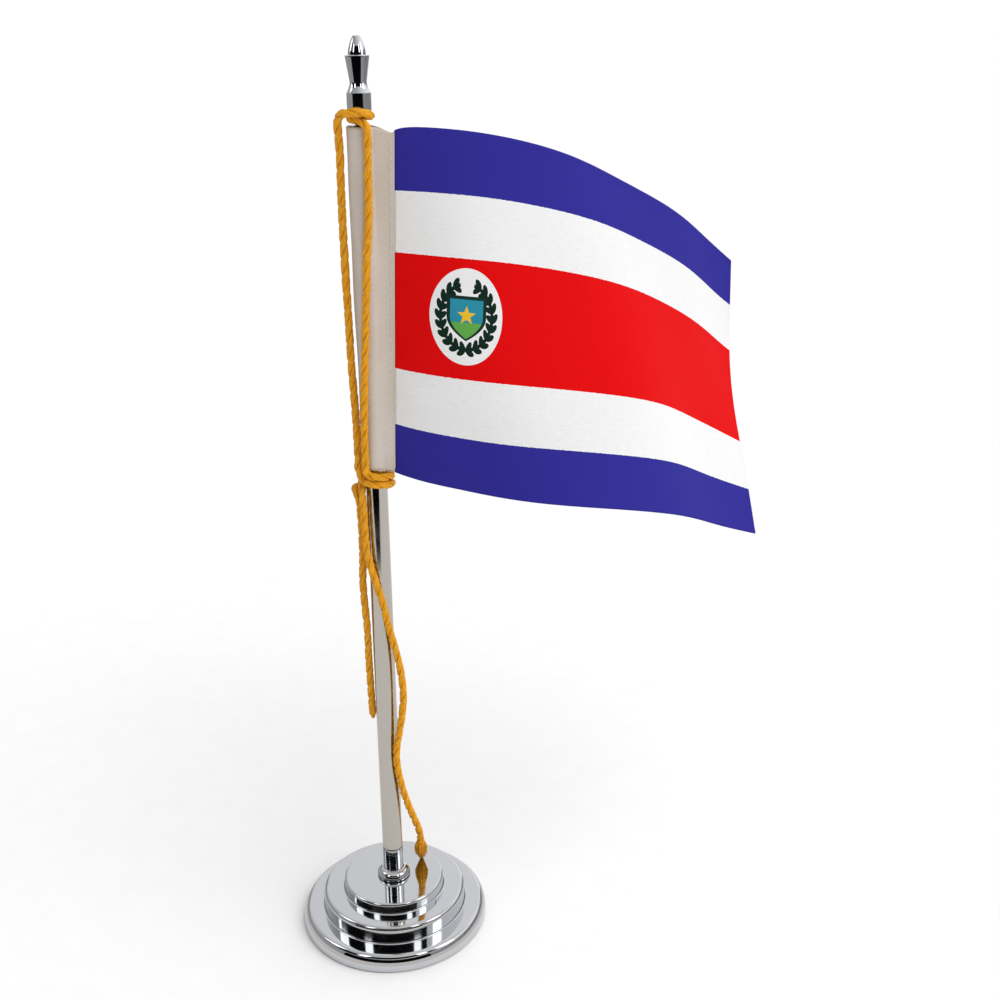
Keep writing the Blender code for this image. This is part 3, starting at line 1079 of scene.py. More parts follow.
def rounded_outline(corners: Sequence[Corner], closed: bool, arc_steps: int = 7) -> Points:
    """Rounds an outline's corners.

    Args:
        corners: the outline's corners, in order.
        closed: whether the last corner joins the first.
        arc_steps: how many pieces each rounded corner has.

    Returns:
        The rounded outline in metres, one (radius, height) row a point.
    """
    count = len(corners)
    places = [np.array((c.radius, c.height)) for c in corners]
    points = []
    for i, corner in enumerate(corners):
        here = places[i]
        at_end = not closed and i in (0, count - 1)
        if corner.fillet <= 0 or at_end:
            points.append(here)
            continue
        before, after = places[i - 1] - here, places[(i + 1) % count] - here
        before_way, after_way = before / np.linalg.norm(before), after / np.linalg.norm(after)
        half = math.acos(float(np.clip(before_way @ after_way, -1.0, 1.0))) / 2
        back = corner.fillet / math.tan(half)
        back = min(back, 0.49 * np.linalg.norm(before), 0.49 * np.linalg.norm(after))
        radius = back * math.tan(half)
        middle_way = (before_way + after_way) / np.linalg.norm(before_way + after_way)
        centre = here + middle_way * radius / math.sin(half)
        start = here + before_way * back - centre
        end = here + after_way * back - centre
        sweep = math.pi - 2 * half
        for step in range(arc_steps + 1):
            share = step / arc_steps
            points.append(
                centre
                + (math.sin((1 - share) * sweep) * start + math.sin(share * sweep) * end) / math.sin(sweep)
            )
    return np.array(points) * MM


def turn_outline(
    name: str, corners: Sequence[Corner], material: bpy.types.Material, steps: int, closed: bool = False
) -> bpy.types.Object:
    """Turns an outline round the pole's axis into one closed body.

    Args:
        name: the piece's name.
        corners: its outline, from axis to axis or in a closed loop, outside to the right.
        material: its finish.
        steps: how many pieces the turn has.
        closed: whether the outline is a loop that doesn't reach the axis.

    Returns:
        The turned piece.
    """
    outline = rounded_outline(corners, closed)
    angles = np.linspace(0, math.tau, steps, endpoint=False)
    points: list[tuple[float, float, float]] = []
    rings: list[list[int]] = []
    for radius, height in outline:
        if radius < 1e-6:
            rings.append([len(points)] * steps)
            points.append((0.0, 0.0, height))
            continue
        rings.append(list(range(len(points), len(points) + steps)))
        points += [(radius * math.cos(a), radius * math.sin(a), height) for a in angles]
    faces = []
    pairs = list(zip(rings, rings[1:] + rings[:1])) if closed else list(zip(rings, rings[1:]))
    for first, second in pairs:
        for i in range(steps):
            j = (i + 1) % steps
            face = [first[i], first[j], second[j], second[i]]
            face = [v for n, v in enumerate(face) if v not in face[:n]]
            if len(face) > 2:
                faces.append(face)
    piece = add_mesh(name, np.array(points), faces, material)
    piece.data.set_sharp_from_angle(angle=math.radians(32))
    # The broad faces set the shading, so the flat treads and straight walls reflect truly.
    shading = piece.modifiers.new("true reflections", "WEIGHTED_NORMAL")
    shading.keep_sharp = True
    return piece


@dataclass
class SteppedBase:
    """The three-step pressed shell, and the parts inside it. Sizes in millimetres."""

    rim_radius: float = 30.8
    middle_radius: float = 23.7
    top_radius: float = 16.6
    rim_tread: float = 5.6
    middle_tread: float = 11.6
    top_tread: float = 15.3
    rim_foot: float = 0.4
    rim_round_out: float = 2.4
    rim_round_up: float = 4.2
    wall: float = 1.0
    hole_radius: float = 2.2
    cove: float = 0.55
    draft: float = 0.07

    def rim_corners(self) -> list[Corner]:
        """The rounded side of the lowest step, from its foot to its tread."""
        corners = []
        for step in range(13):
            angle = math.radians(90 * step / 12)
            corners.append(
                Corner(
                    self.rim_radius - self.rim_round_out * (1 - math.cos(angle)),
                    self.rim_tread - self.rim_round_up * (1 - math.sin(angle)),
                )
            )
        return corners

    def build_shell(self) -> bpy.types.Object:
        """The shell, with the soft coves and shoulders that pressing gives each step."""
        inner = self.wall
        corners = [Corner(self.rim_radius, self.rim_foot, 0.15), *self.rim_corners()]
        corners += [
            Corner(self.middle_radius, self.rim_tread, self.cove),
            Corner(self.middle_radius, self.middle_tread, 1.5),
            Corner(self.top_radius + self.draft, self.middle_tread, self.cove),
            Corner(self.top_radius - self.draft, self.top_tread, 0.9),
            Corner(self.hole_radius, self.top_tread, 0.1),
            Corner(self.hole_radius, self.top_tread - inner),
            Corner(self.top_radius - inner, self.top_tread - inner),
            Corner(self.top_radius - inner, self.middle_tread - inner),
            Corner(self.middle_radius - inner, self.middle_tread - inner),
            Corner(self.middle_radius - inner, self.rim_tread - inner),
            Corner(self.rim_radius - self.rim_round_out, self.rim_tread - inner, 0.6),
            Corner(self.rim_radius - inner, self.rim_tread - self.rim_round_up, 0.6),
            Corner(self.rim_radius - inner, self.rim_foot, 0.15),
        ]
        shell = turn_outline(
            "base_shell_plated",
            corners,
            ChromePlate("chromium-plated pressed steel").build(),
            160,
            closed=True,
        )
        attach(shell, "base")
        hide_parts("base_shell")
        return shell

    def dress_inner_parts(self) -> list[bpy.types.Object]:
        """Finishes the CAD nodes that stay: ballast, felt disc, screw and washer."""
        finishes = {
            "base_weight": GrainyMetal("sand-cast iron", "232326", "3A3A3D", 0.75, 0.9, 0.12),
            "base_screw": GrainyMetal("zinc-plated steel screw", "A9ABB0", "C6C8CC", 0.32, 0.5, 0.01),
            "base_washer": GrainyMetal("zinc-plated steel washer", "A9ABB0", "C6C8CC", 0.36, 0.5, 0.01),
            "base_pad": PressedFelt(),
        }
        dressed = []
        for name, finish in finishes.items():
            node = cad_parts[name]
            node.data.materials.clear()
            node.data.materials.append(finish.build())
            dressed.append(node)
        return dressed

    def build(self) -> list[bpy.types.Object]:
        """Builds and dresses the base."""
        return [self.build_shell(), *self.dress_inner_parts()]


@dataclass
class Mast:
    """Foot, tube and finial, turned and plated. Sizes in millimetres."""

    tube_radius: float = 3.3
    tube_wall: float = 0.5
    collar_radius: float = 3.35
    spigot_radius: float = 2.5
    dome_radius: float = 5.4
    dome_edge: float = 0.3
    dome_round: float = 2.4
    bore_radius: float = 2.2
    flange: float = 0.5
    groove_radius: float = 1.3
    groove_height: float = 3.7
    finial_collar: float = 4.6
    neck_radius: float = 2.3
    neck_rise: float = 2.0
    cone_length: float = 7.0
    ring_height: float = 0.4
    bud_radius: float = 2.45
    tip_radius: float = 1.0

    def build_foot(self) -> bpy.types.Object:
        """The domed foot, its collar and the spigot that stands in the tube."""
        low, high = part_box("foot_ferrule")
        bottom, spigot_top = low[2] / MM, high[2] / MM
        collar_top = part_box("pole_tube")[0][2] / MM - 0.3
        centre = self.dome_radius - self.dome_round
        meets = math.degrees(math.acos((self.collar_radius - centre) / self.dome_round))
        corners = [
            Corner(0.0, collar_top - 2.5),
            Corner(self.bore_radius, collar_top - 2.5),
            Corner(self.bore_radius, bottom),
            Corner(self.dome_radius, bottom, 0.08),
        ]
        for step in range(11):
            angle = math.radians(meets * step / 10)
            corners.append(
                Corner(
                    centre + self.dome_round * math.cos(angle),
                    bottom + self.dome_edge + self.dome_round * math.sin(angle),
                    0.35 if step == 10 else 0.0,
                )
            )
        corners += [
            Corner(self.collar_radius, collar_top, 0.12),
            Corner(self.spigot_radius, collar_top),
            Corner(self.spigot_radius, spigot_top, 0.5),
            Corner(0.0, spigot_top),
        ]
        chrome = ChromePlate("chromium-plated turned brass foot").build()
        foot = turn_outline("foot_turned", corners, chrome, 96)
        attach(foot, "base")
        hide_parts("foot_ferrule")
        return foot

    def build_tube(self) -> bpy.types.Object:
        """The drawn tube, with its ends eased."""
        low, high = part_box("pole_tube")
        bottom, top = low[2] / MM, high[2] / MM
        inner = self.tube_radius - self.tube_wall
        corners = [
            Corner(self.tube_radius, bottom, 0.12),
            Corner(self.tube_radius, top, 0.12),
            Corner(inner, top, 0.1),
            Corner(inner, bottom, 0.1),
        ]
        finish = ChromePlate("chromium-plated drawn steel tube", colour="C6C5C1", roughness=0.08)
        tube = turn_outline("pole_tube_plated", corners, finish.build(), 96, closed=True)
        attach(tube, "pole")
        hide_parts("pole_tube")
        return tube

    def build_finial(self) -> bpy.types.Object:
        """The finial: spigot, flange, cord groove, collar, waisted neck, cone and bud."""
        low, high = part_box("finial")
        tip, spigot_end = high[2] / MM, low[2] / MM
        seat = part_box("pole_tube")[1][2] / MM + 0.3
        groove_bottom = seat + self.flange
        collar_bottom = groove_bottom + self.groove_height
        collar_top = collar_bottom + self.finial_collar
        neck = collar_top + self.neck_rise
        ring = neck + self.cone_length
        bud = ring + self.ring_height
        corners = [
            Corner(0.0, spigot_end),
            Corner(self.spigot_radius, spigot_end, 0.5),
            Corner(self.spigot_radius, seat),
            Corner(self.tube_radius, seat, 0.08),
            Corner(self.tube_radius, groove_bottom, 0.08),
            Corner(self.groove_radius, groove_bottom, 0.3),
            Corner(self.groove_radius, collar_bottom, 0.3),
            Corner(self.collar_radius, collar_bottom, 0.15),
            Corner(self.collar_radius, collar_top, 0.15),
        ]
        flare = self.collar_radius - 0.12 - self.neck_radius
        for step in range(8):
            fall = 1 - step / 8
            corners.append(
                Corner(self.neck_radius + flare * fall**1.6, collar_top + (self.neck_rise + 0.6) * (1 - fall))
            )
        corners += [
            Corner(self.neck_radius, neck + 0.6, 0.5),
            Corner(self.tube_radius, ring, 0.12),
            Corner(self.tube_radius, bud, 0.12),
            Corner(self.bud_radius, bud, 0.12),
        ]
        for step in range(1, 11):
            climb = step / 10
            taper = 1 - climb**1.8
            corners.append(
                Corner(
                    self.tip_radius + (self.bud_radius - self.tip_radius) * taper,
                    bud + (tip - bud) * climb,
                    0.55 if step == 10 else 0.0,
                )
            )
        corners.append(Corner(0.0, tip))
        chrome = ChromePlate("chromium-plated turned brass finial").build()
        finial = turn_outline("finial_turned", corners, chrome, 96)
        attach(finial, "finial")
        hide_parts("finial")
        return finial

    def build(self) -> list[bpy.types.Object]:
        """Builds the mast from the foot up."""
        return [self.build_foot(), self.build_tube(), self.build_finial()]


# ---------------------------------------------------------------- flag


def through_all(values: Sequence[float], share: Points) -> Points:
    """The smooth value at each share of the way, on the curve through evenly spaced values."""
    last = len(values) - 1
    total = np.zeros_like(share)
    for i, value in enumerate(values):
        weight = np.ones_like(share)
        for j in range(len(values)):
            if j != i:
                weight = weight * (share * last - j) / (i - j)
        total = total + value * weight
    return total


@dataclass
class FlagCloth:
    """The printed cloth and its sleeve. Lengths in millimetres, angles in degrees."""

    height: float = 100.0
    length: float = 150.0
    hoist_heading: float = -42.0
    reach_top: float = 9.4
    reach_bottom: float = 5.9
    hem_rise: float = 2.9
    sleeve_outer: float = 3.95
    seam_gap: float = 0.3
    half_thickness: float = 0.11
    hem_width: float = 1.6
    corner_lift: float = 1.3
    heading_top: tuple[float, ...] = (-35.2, 3.5, 17.8, 8.9)
    heading_bottom: tuple[float, ...] = (-54.6, -18.6, 12.2, 8.8)
    heading_swell: tuple[float, ...] = (-7.9, 3.7, 3.0, -0.6)
    dip_top: tuple[float, ...] = (-0.4, 17.7, 25.5, 34.2)
    dip_bottom: tuple[float, ...] = (13.8, 11.3, 21.2, 24.6)
    dip_swell: tuple[float, ...] = (-2.0, -1.5, 0.8, 0.5)
    columns: int = 240
    rows: int = 160

    def __post_init__(self) -> None:
        """Reads the flag's top level from the frame."""
        self.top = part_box("hoist_sleeve")[1][2] / MM

    def middle_surface(self) -> tuple[Points, Points, Points]:
        """The cloth's middle surface.

        Returns:
            Points in millimetres by row and column, and each one's share along and down.
        """
        down = np.linspace(0, 1, self.rows + 1)[:, None]
        middles = (np.arange(self.columns) + 0.5)[None, :] / self.columns
        swell = 4 * down * (1 - down)
        heading, dip = (
            np.radians(
                blend(through_all(top, middles), through_all(bottom, middles), down)
                + swell * through_all(between, middles)
            )
            for top, bottom, between in (
                (self.heading_top, self.heading_bottom, self.heading_swell),
                (self.dip_top, self.dip_bottom, self.dip_swell),
            )
        )
        step = self.length / self.columns
        moves = np.stack(
            (np.cos(dip) * np.cos(heading), np.cos(dip) * np.sin(heading), -np.sin(dip)), axis=-1
        )
        start_heading = math.radians(self.hoist_heading)
        reach = blend(self.reach_top, self.reach_bottom, down[:, 0]) + self.seam_gap * 0.2
        lift = self.corner_lift * np.clip(down[:, 0] / 0.15 - 5.667, 0, 1) ** 2
        start = np.stack(
            (
                reach * math.cos(start_heading),
                reach * math.sin(start_heading),
                self.top - self.height * down[:, 0] + lift,
            ),
            axis=-1,
        )
        first = start[:, None, :]
        points = np.concatenate((first, first + step * np.cumsum(moves, axis=1)), axis=1)
        along = np.linspace(0, 1, self.columns + 1)[None, :]
        return points, np.broadcast_to(along, points.shape[:2]), np.broadcast_to(down, points.shape[:2])

    def ripples(self, along: Points, down: Points) -> Points:
        """How far the cloth stands off its smooth sweep, in millimetres.

        Args:
            along: share of the way from hoist to fly.
            down: share of the way from top to bottom.

        Returns:
            The displacement at each point.
        """
        x, y = along * self.length, down * self.height
        held = 1 - np.exp(-x / 6.0)
        gathers = 0.28 * np.exp(-x / 16.0) * (1 - np.exp(-x / 3.0)) * np.sin(y / 2.9 + 1.3 * np.sin(y / 11.0))
        swell = 0.75 * np.sin(x / 17.0 + y / 31.0 + 0.6) + 0.4 * np.sin(x / 9.0 - y / 19.0 + 2.0)
        drag = 0.35 * np.sin((y + 0.45 * x) / 6.5) * np.exp(-((x - 45) / 40.0) ** 2)
        fly = 0.5 * np.exp(-(self.length - x) / 9.0) * np.sin(y / 12.0 + 0.8)
        return gathers + held * (swell + drag * 0.6) * smooth_step(x / 25.0) + fly

    def build_cloth(self) -> bpy.types.Object:
        """The printed cloth: one thin sheet, thicker along its rolled top and bottom hems."""
        middle, along, down = self.middle_surface()
        lengthwise = np.gradient(middle, axis=1)
        downwards = np.gradient(middle, axis=0)
        normal = np.cross(downwards, lengthwise)
        normal /= np.linalg.norm(normal, axis=-1, keepdims=True)
        middle = middle + normal * self.ripples(along, down)[..., None]
        curl = np.exp(-along * self.length / 2.2) * smooth_step(1 - down * self.height / 5.0)
        middle[..., 2] -= 0.9 * curl
        edge_mm = np.minimum(down, 1 - down) * self.height
        fly_mm = (1 - along) * self.length
        hem = np.maximum(
            smooth_step((self.hem_width - edge_mm) / 0.5 + 0.5), 0.6 * smooth_step((1.2 - fly_mm) / 0.5 + 0.5)
        )
        thickness = self.half_thickness * (1 + 0.9 * hem)
        front = middle + normal * thickness[..., None]
        back = middle - normal * thickness[..., None]
        count = self.columns + 1
        points = np.concatenate((front.reshape(-1, 3), back.reshape(-1, 3))) * MM
        uv = np.stack((along * self.length, down * self.height), axis=-1).reshape(-1, 2) * MM
        faces: list[tuple[int, ...]] = []
        far = front.shape[0] * count
        for row in range(self.rows):
            for column in range(self.columns):
                a = row * count + column
                b, c, d = a + 1, a + count + 1, a + count
                faces.append((a, d, c, b))
                faces.append((far + a, far + b, far + c, far + d))
        top = list(range(count))
        bottom = [self.rows * count + i for i in range(count)]
        hoist = [row * count for row in range(self.rows + 1)]
        fly = [row * count + self.columns for row in range(self.rows + 1)]
        for line, flip in ((top, False), (bottom, True), (hoist, True), (fly, False)):
            for a, b in zip(line, line[1:]):
                faces.append((a, b, far + b, far + a) if not flip else (b, a, far + a, far + b))
        cloth = add_mesh("flag_cloth", points, faces, PrintedPolyester().build(), np.concatenate((uv, uv)))
        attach(cloth, "flag")
        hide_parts("flag_panel")
        return cloth

    def build_sleeve(self) -> bpy.types.Object:
        """The sleeve: one strip of cloth, folded round the pole and sewn back to itself."""
        levels, around, strip = 120, 64, 16
        sleeve_height = self.height - self.hem_rise
        heading = math.radians(self.hoist_heading)
        out = np.array((math.cos(heading), math.sin(heading)))
        side = np.array((-out[1], out[0]))
        rings = []
        uv = []
        for level in range(levels + 1):
            share = level / levels
            drop = share * sleeve_height / self.height
            reach = blend(self.reach_top, self.reach_bottom, drop)
            z_mm = self.top - sleeve_height * share
            pinch = math.exp(-share * sleeve_height / 5.0) + math.exp(-(1 - share) * sleeve_height / 4.0)
            ring = []
            coords = []
            travelled = 0.0
            total = around + 2 * strip
            for i in range(total):
                beside_strip = 0.0
                if i < strip:
                    away = i / strip
                    outward = out * blend(reach, self.sleeve_outer * 0.9, away)
                    place = outward + side * blend(0.14, 1.3, away**2.2)
                    from_pole = 1 - away
                elif i < strip + around:
                    turn = (i - strip) / around
                    beside_strip = smooth_step(1 - min(turn, 1 - turn) / 0.1)
                    angle = math.radians(22 + (360 - 44) * turn)
                    slack = 0.1 * math.sin(5 * angle + share * 9) + 0.07 * math.sin(3 * angle - share * 17)
                    radius = self.sleeve_outer - 0.08 + slack * (1 - 0.7 * pinch)
                    place = out * (radius * math.cos(angle)) + side * (radius * math.sin(angle))
                    from_pole = 0.0
                else:
                    away = 1 - (i - strip - around) / (strip - 1)
                    outward = out * blend(reach, self.sleeve_outer * 0.9, away)
                    place = outward - side * blend(0.14, 1.3, away**2.2)
                    from_pole = 1 - away
                fade = math.exp(-share * sleeve_height / 7.0)
                sag = 3.1 * from_pole**1.6 * max(1 - from_pole, 0.0) ** 0.45 * fade
                lowered = 0.43 * beside_strip if from_pole == 0 else from_pole**0.3
                drop_to_corner = (self.hem_rise - self.corner_lift) * lowered * share**6
                curl = 0.9 * from_pole**3 * math.exp(-share * sleeve_height / 4.0)
                ring.append((place[0], place[1], z_mm - sag - curl - drop_to_corner))
                if coords:
                    travelled += math.dist(ring[-1][:2], ring[-2][:2])
                coords.append((travelled, sleeve_height * share))
            rings.append(ring)
            uv.append(coords)
        total = around + 2 * strip
        points = np.array(rings).reshape(-1, 3) * MM
        coordinates = np.array(uv).reshape(-1, 2) * MM
        faces = []
        for level in range(levels):
            for i in range(total - 1):
                a = level * total + i
                faces.append((a, a + total, a + total + 1, a + 1))
        sleeve = add_mesh("sleeve_cloth", points, faces, PlainPolyester().build(), coordinates)
        cloth = sleeve.modifiers.new("cloth thickness", "SOLIDIFY")
        cloth.thickness = 0.16 * MM
        cloth.offset = -1.0
        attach(sleeve, "flag")
        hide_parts("hoist_sleeve")
        return sleeve

    def build_seam(self) -> bpy.types.Object:
        """The row of stitches, seen on both sides, that closes the sleeve beside the print."""
        pitch, from_print = 2.1, 1.0
        heading = math.radians(self.hoist_heading)
        out = np.array((math.cos(heading), math.sin(heading), 0.0))
        side = np.array((-out[1], out[0], 0.0))
        parts = []
        count = int((self.height - self.hem_rise - 6.0) / pitch)
        for face in (1, -1):
            for number in range(count):
                drop = (4.0 + number * pitch) / self.height
                reach = blend(self.reach_top, self.reach_bottom, drop) - from_print
                centre = out * reach + side * face * 0.27
                centre[2] = self.top - drop * self.height
                shares = np.linspace(-1, 1, 7)[:, None]
                # Each stitch dips into the cloth at both ends.
                line = (
                    centre + np.array((0.0, 0.0, -0.72)) * shares - side * face * 0.17 * np.abs(shares) ** 3
                ) * MM
                parts.append(lay_tube(line, np.full(7, 0.13 * MM), 6))
        thread = PlainPolyester("spun polyester thread", light="E2DCD6", shade="D2CAC2").build()
        seam = add_joined("sleeve_stitches", parts, thread)
        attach(seam, "flag")
        return seam

    def build(self) -> list[bpy.types.Object]:
        """Builds the sleeve, its seam and the printed cloth."""
        sleeve, seam, cloth = self.build_sleeve(), self.build_seam(), self.build_cloth()
        return [sleeve, seam, cloth]


# ---------------------------------------------------------------- cord


def smooth_route(points: Sequence[Vector], step: float) -> Points:
    """Points of a Catmull-Rom curve through these.

    Args:
        points: the points that the curve passes through.
        step: the longest distance between two points of the result.

    Returns:
        The curve's points, one row each.
    """
    ends = [2 * points[0] - points[1], *points, 2 * points[-1] - points[-2]]
    route = [np.array(points[0])]
    for before, start, end, after in zip(ends, ends[1:], ends[2:], ends[3:]):
        pieces = max(1, math.ceil((end - start).length / step))
        for i in range(1, pieces + 1):
            t = i / pieces
            place = (
                2 * start
                + (end - before) * t
                + (2 * before - 5 * start + 4 * end - after) * t**2
                + (3 * start - before - 3 * end + after) * t**3
            ) * 0.5
            route.append(np.array(place))
    return np.array(route)


def route_frames(route: Points) -> tuple[Points, Points]:
    """Two directions square to a route at each point, carried along it without twisting.

    Args:
        route: the route's points.

    Returns:
        The two directions, one row a point.
    """
    ways = np.gradient(route, axis=0)
    ways /= np.linalg.norm(ways, axis=1, keepdims=True)
    first = np.cross(ways[0], (0.3, 0.5, 0.8))
    first /= np.linalg.norm(first)
    firsts = [first]
    for way in ways[1:]:
        carried = firsts[-1] - way * float(firsts[-1] @ way)
        firsts.append(carried / np.linalg.norm(carried))
    carried_all = np.array(firsts)
    return carried_all, np.cross(ways, carried_all)


def lay_tube(route: Points, radii: Points, sides: int) -> tuple[Points, list[tuple[int, ...]], Points]:
    """A capped tube round a route.

    Args:
        route: the tube's centreline.
        radii: its radius at each point.
        sides: how many sides it has.

    Returns:
        Its points, its faces, and a map coordinate for each point: metres along and round it.
    """
    across, up = route_frames(route)
    angles = np.linspace(0, math.tau, sides, endpoint=False)
    circle = (
        np.cos(angles)[None, :, None] * across[:, None, :] + np.sin(angles)[None, :, None] * up[:, None, :]
    )
    points = (route[:, None, :] + circle * radii[:, None, None]).reshape(-1, 3)
    travelled = np.concatenate(([0.0], np.cumsum(np.linalg.norm(np.diff(route, axis=0), axis=1))))
    round_way = np.abs(np.linspace(-1, 1, sides, endpoint=False)) * math.pi * float(np.max(radii))
    uv = np.stack(
        (np.repeat(travelled, sides), np.tile(round_way, len(route))),
        axis=-1,
    )
    faces: list[tuple[int, ...]] = []
    for ring in range(len(route) - 1):
        for i in range(sides):
            j = (i + 1) % sides
            a, b = ring * sides, (ring + 1) * sides
            faces.append((a + i, a + j, b + j, b + i))
    faces.append(tuple(reversed(range(sides))))
    faces.append(tuple((len(route) - 1) * sides + i for i in range(sides)))
    return points, faces, uv


def add_joined(
    name: str, parts: Sequence[tuple[Points, list[tuple[int, ...]], Points]], material: bpy.types.Material
) -> bpy.types.Object:
    """Adds many tubes as one mesh.

    Args:
        name: the piece's name.
        parts: each tube's points, faces and map coordinates.
        material: what they are made of.

    Returns:
        The new piece.
    """
    faces: list[tuple[int, ...]] = []
    offset = 0
    for points, part_faces, _ in parts:
        faces += [tuple(v + offset for v in face) for face in part_faces]
        offset += len(points)
    joined_points = np.concatenate([part[0] for part in parts])
    joined_uv = np.concatenate([part[2] for part in parts])
    return add_mesh(name, joined_points, faces, material, joined_uv)


class FarEnd(Enum):
    """What is on a length of cord's far end."""

    OBJECT = "object"
    BARE = "bare"


@dataclass
class GoldCord:
    """The two-ply cord: the loop up the sleeve, the ties and the two tails. Sizes in millimetres."""

    diameter: float = 2.2
    gap: float = 0.2
    lay_length: float = 9.6
    ply_offset: float = 0.5
    ply_depth: float = 0.62
    ply_width: float = 0.95
    step: float = 0.45
    fibre_count: int = 260
    fibre_radius: float = 0.14
    # How far before the cord's end the loose fibres start, as a share of the longest one.
    fibre_root: float = 0.86
    pole_radius: float = 3.3
    sleeve_outer: float = 3.95
    groove_radius: float = 1.3
    groove_height: float = 3.7
    # Rows: from the pole's surface to the cord's centre, heading, share of the way along the stretch.
    left_strand: tuple[tuple[float, float, float], ...] = (
        (2.02, 174.6, 0.020),
        (2.03, 173.5, 0.068),
        (2.00, 169.1, 0.177),
        (2.38, 165.7, 0.303),
        (2.49, 161.9, 0.428),
        (2.62, 158.2, 0.557),
        (2.75, 157.7, 0.706),
        (2.66, 157.3, 0.861),
        (2.53, 157.8, 0.933),
    )
    right_strand: tuple[tuple[float, float, float], ...] = (
        (2.16, 261.6, 0.974),
        (2.00, 259.1, 0.861),
        (1.99, 254.6, 0.751),
        (2.02, 244.4, 0.636),
        (2.05, 237.2, 0.525),
        (2.08, 228.0, 0.387),
        (2.04, 218.2, 0.253),
        (2.00, 211.9, 0.132),
        (2.03, 210.4, 0.047),
        (2.03, 210.4, 0.020),
    )
    top_tie_front: tuple[tuple[float, float, float], ...] = (
        (2.80, 164.0, -0.450),
        (3.05, 174.0, 0.350),
        (2.95, 190.0, 0.800),
        (2.44, 207.0, 0.920),
        (2.10, 226.0, 0.950),
        (1.74, 246.5, 0.920),
        (1.20, 268.0, 0.830),
        (0.45, 292.0, 0.680),
    )
    top_tie_exit: tuple[tuple[float, float, float], ...] = (
        (-0.06, 236.3, 0.378),
        (1.18, 251.6, 0.230),
        (2.12, 260.4, -0.081),
    )
    long_tail: tuple[tuple[float, float, float], ...] = (
        (2.08, 189.6, 0.046),
        (2.00, 190.9, 0.077),
        (1.92, 192.2, 0.125),
        (1.85, 198.1, 0.176),
        (1.53, 220.0, 0.228),
        (1.58, 244.5, 0.280),
        (1.64, 263.0, 0.340),
        (1.98, 279.8, 0.385),
        (2.57, 293.1, 0.434),
        (3.10, 299.0, 0.483),
        (3.28, 298.1, 0.526),
        (2.72, 291.4, 0.575),
        (1.80, 281.3, 0.624),
        (1.52, 274.8, 0.663),
        (1.55, 278.3, 0.703),
        (1.54, 288.1, 0.732),
        (1.71, 298.6, 0.761),
        (2.22, 312.1, 0.792),
        (3.11, 325.8, 0.826),
        (4.52, 339.0, 0.862),
        (6.14, 350.2, 0.900),
        (7.50, 360.5, 0.939),
        (8.25, 365.5, 0.966),
        (8.38, 366.9, 0.984),
    )
    short_tail: tuple[tuple[float, float, float], ...] = (
        (2.35, 120.0, 0.040),
        (3.15, 142.0, 0.037),
        (2.75, 158.0, 0.046),
        (2.09, 162.7, 0.060),
        (1.89, 160.9, 0.089),
        (1.76, 161.6, 0.127),
        (1.79, 160.5, 0.184),
        (2.18, 158.6, 0.238),
        (2.03, 156.8, 0.290),
        (1.67, 155.0, 0.338),
        (1.54, 150.3, 0.387),
        (1.58, 145.0, 0.438),
        (1.59, 139.1, 0.489),
        (1.58, 134.2, 0.536),
        (1.60, 129.2, 0.577),
    )

    def __post_init__(self) -> None:
        """Reads the levels that the cord is tied at from the frame."""
        self.sleeve_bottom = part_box("hoist_sleeve")[0][2] / MM
        self.flag_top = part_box("hoist_sleeve")[1][2] / MM
        self.groove_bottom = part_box("pole_tube")[1][2] / MM + 0.3 + 0.5
        self.top_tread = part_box("base_shell")[1][2] / MM
        self.tie_level = self.sleeve_bottom - self.diameter / 2 - 2 * self.gap
        self.yarn = TwistedYarn().build()

    def stretch(self, rows: Sequence[tuple[float, float, float]], start: float, end: float) -> list[Vector]:
        """The points of one stretch of cord, in metres, from its rows."""
        return [
            polar((self.pole_radius + clear) * MM, heading, blend(start, end, share) * MM)
            for clear, heading, share in rows
        ]

    def turn(
        self, radius: float, headings: tuple[float, float], levels: tuple[float, float], count: int
    ) -> list[Vector]:
        """The points of a turn round the pole, in metres."""
        shares = [i / (count - 1) for i in range(count)]
        return [polar(radius * MM, blend(*headings, s), blend(*levels, s) * MM) for s in shares]

    def past_hem(self, heading: float) -> list[Vector]:
        """The points that bring a strand down past the sleeve's hem."""
        radius = self.sleeve_outer + self.diameter / 2 + 2 * self.gap
        levels = (self.sleeve_bottom + 1.5, self.sleeve_bottom + self.gap)
        return [polar(radius * MM, heading, level * MM) for level in levels]

    def loop_points(self) -> list[Vector]:
        """Up the left of the sleeve, round the finial's groove and down the right."""
        top = self.groove_bottom + self.groove_height
        points = self.stretch(self.left_strand, self.sleeve_bottom, self.flag_top)
        points += self.stretch(self.top_tie_front, self.groove_bottom, top)
        half = self.diameter / 2
        points += self.turn(
            self.groove_radius + half + self.gap,
            (-30, 210),
            (top - half - self.gap, self.groove_bottom + half + 2 * self.gap),
            9,
        )
        points += self.stretch(self.top_tie_exit, self.groove_bottom, top)
        return points + self.stretch(self.right_strand, self.sleeve_bottom, self.flag_top)

    def long_points(self) -> list[Vector]:
        """Once round the pole under the sleeve, then down to just above the base."""
        pitch = 2 * (self.diameter + self.gap)
        wrap = self.pole_radius + self.diameter / 2 + self.gap
        points = self.past_hem(-149.6)
        points += self.turn(wrap, (-140, 170), (self.tie_level, self.tie_level - pitch * 310 / 360), 12)
        return points + self.stretch(self.long_tail, self.tie_level, self.top_tread)

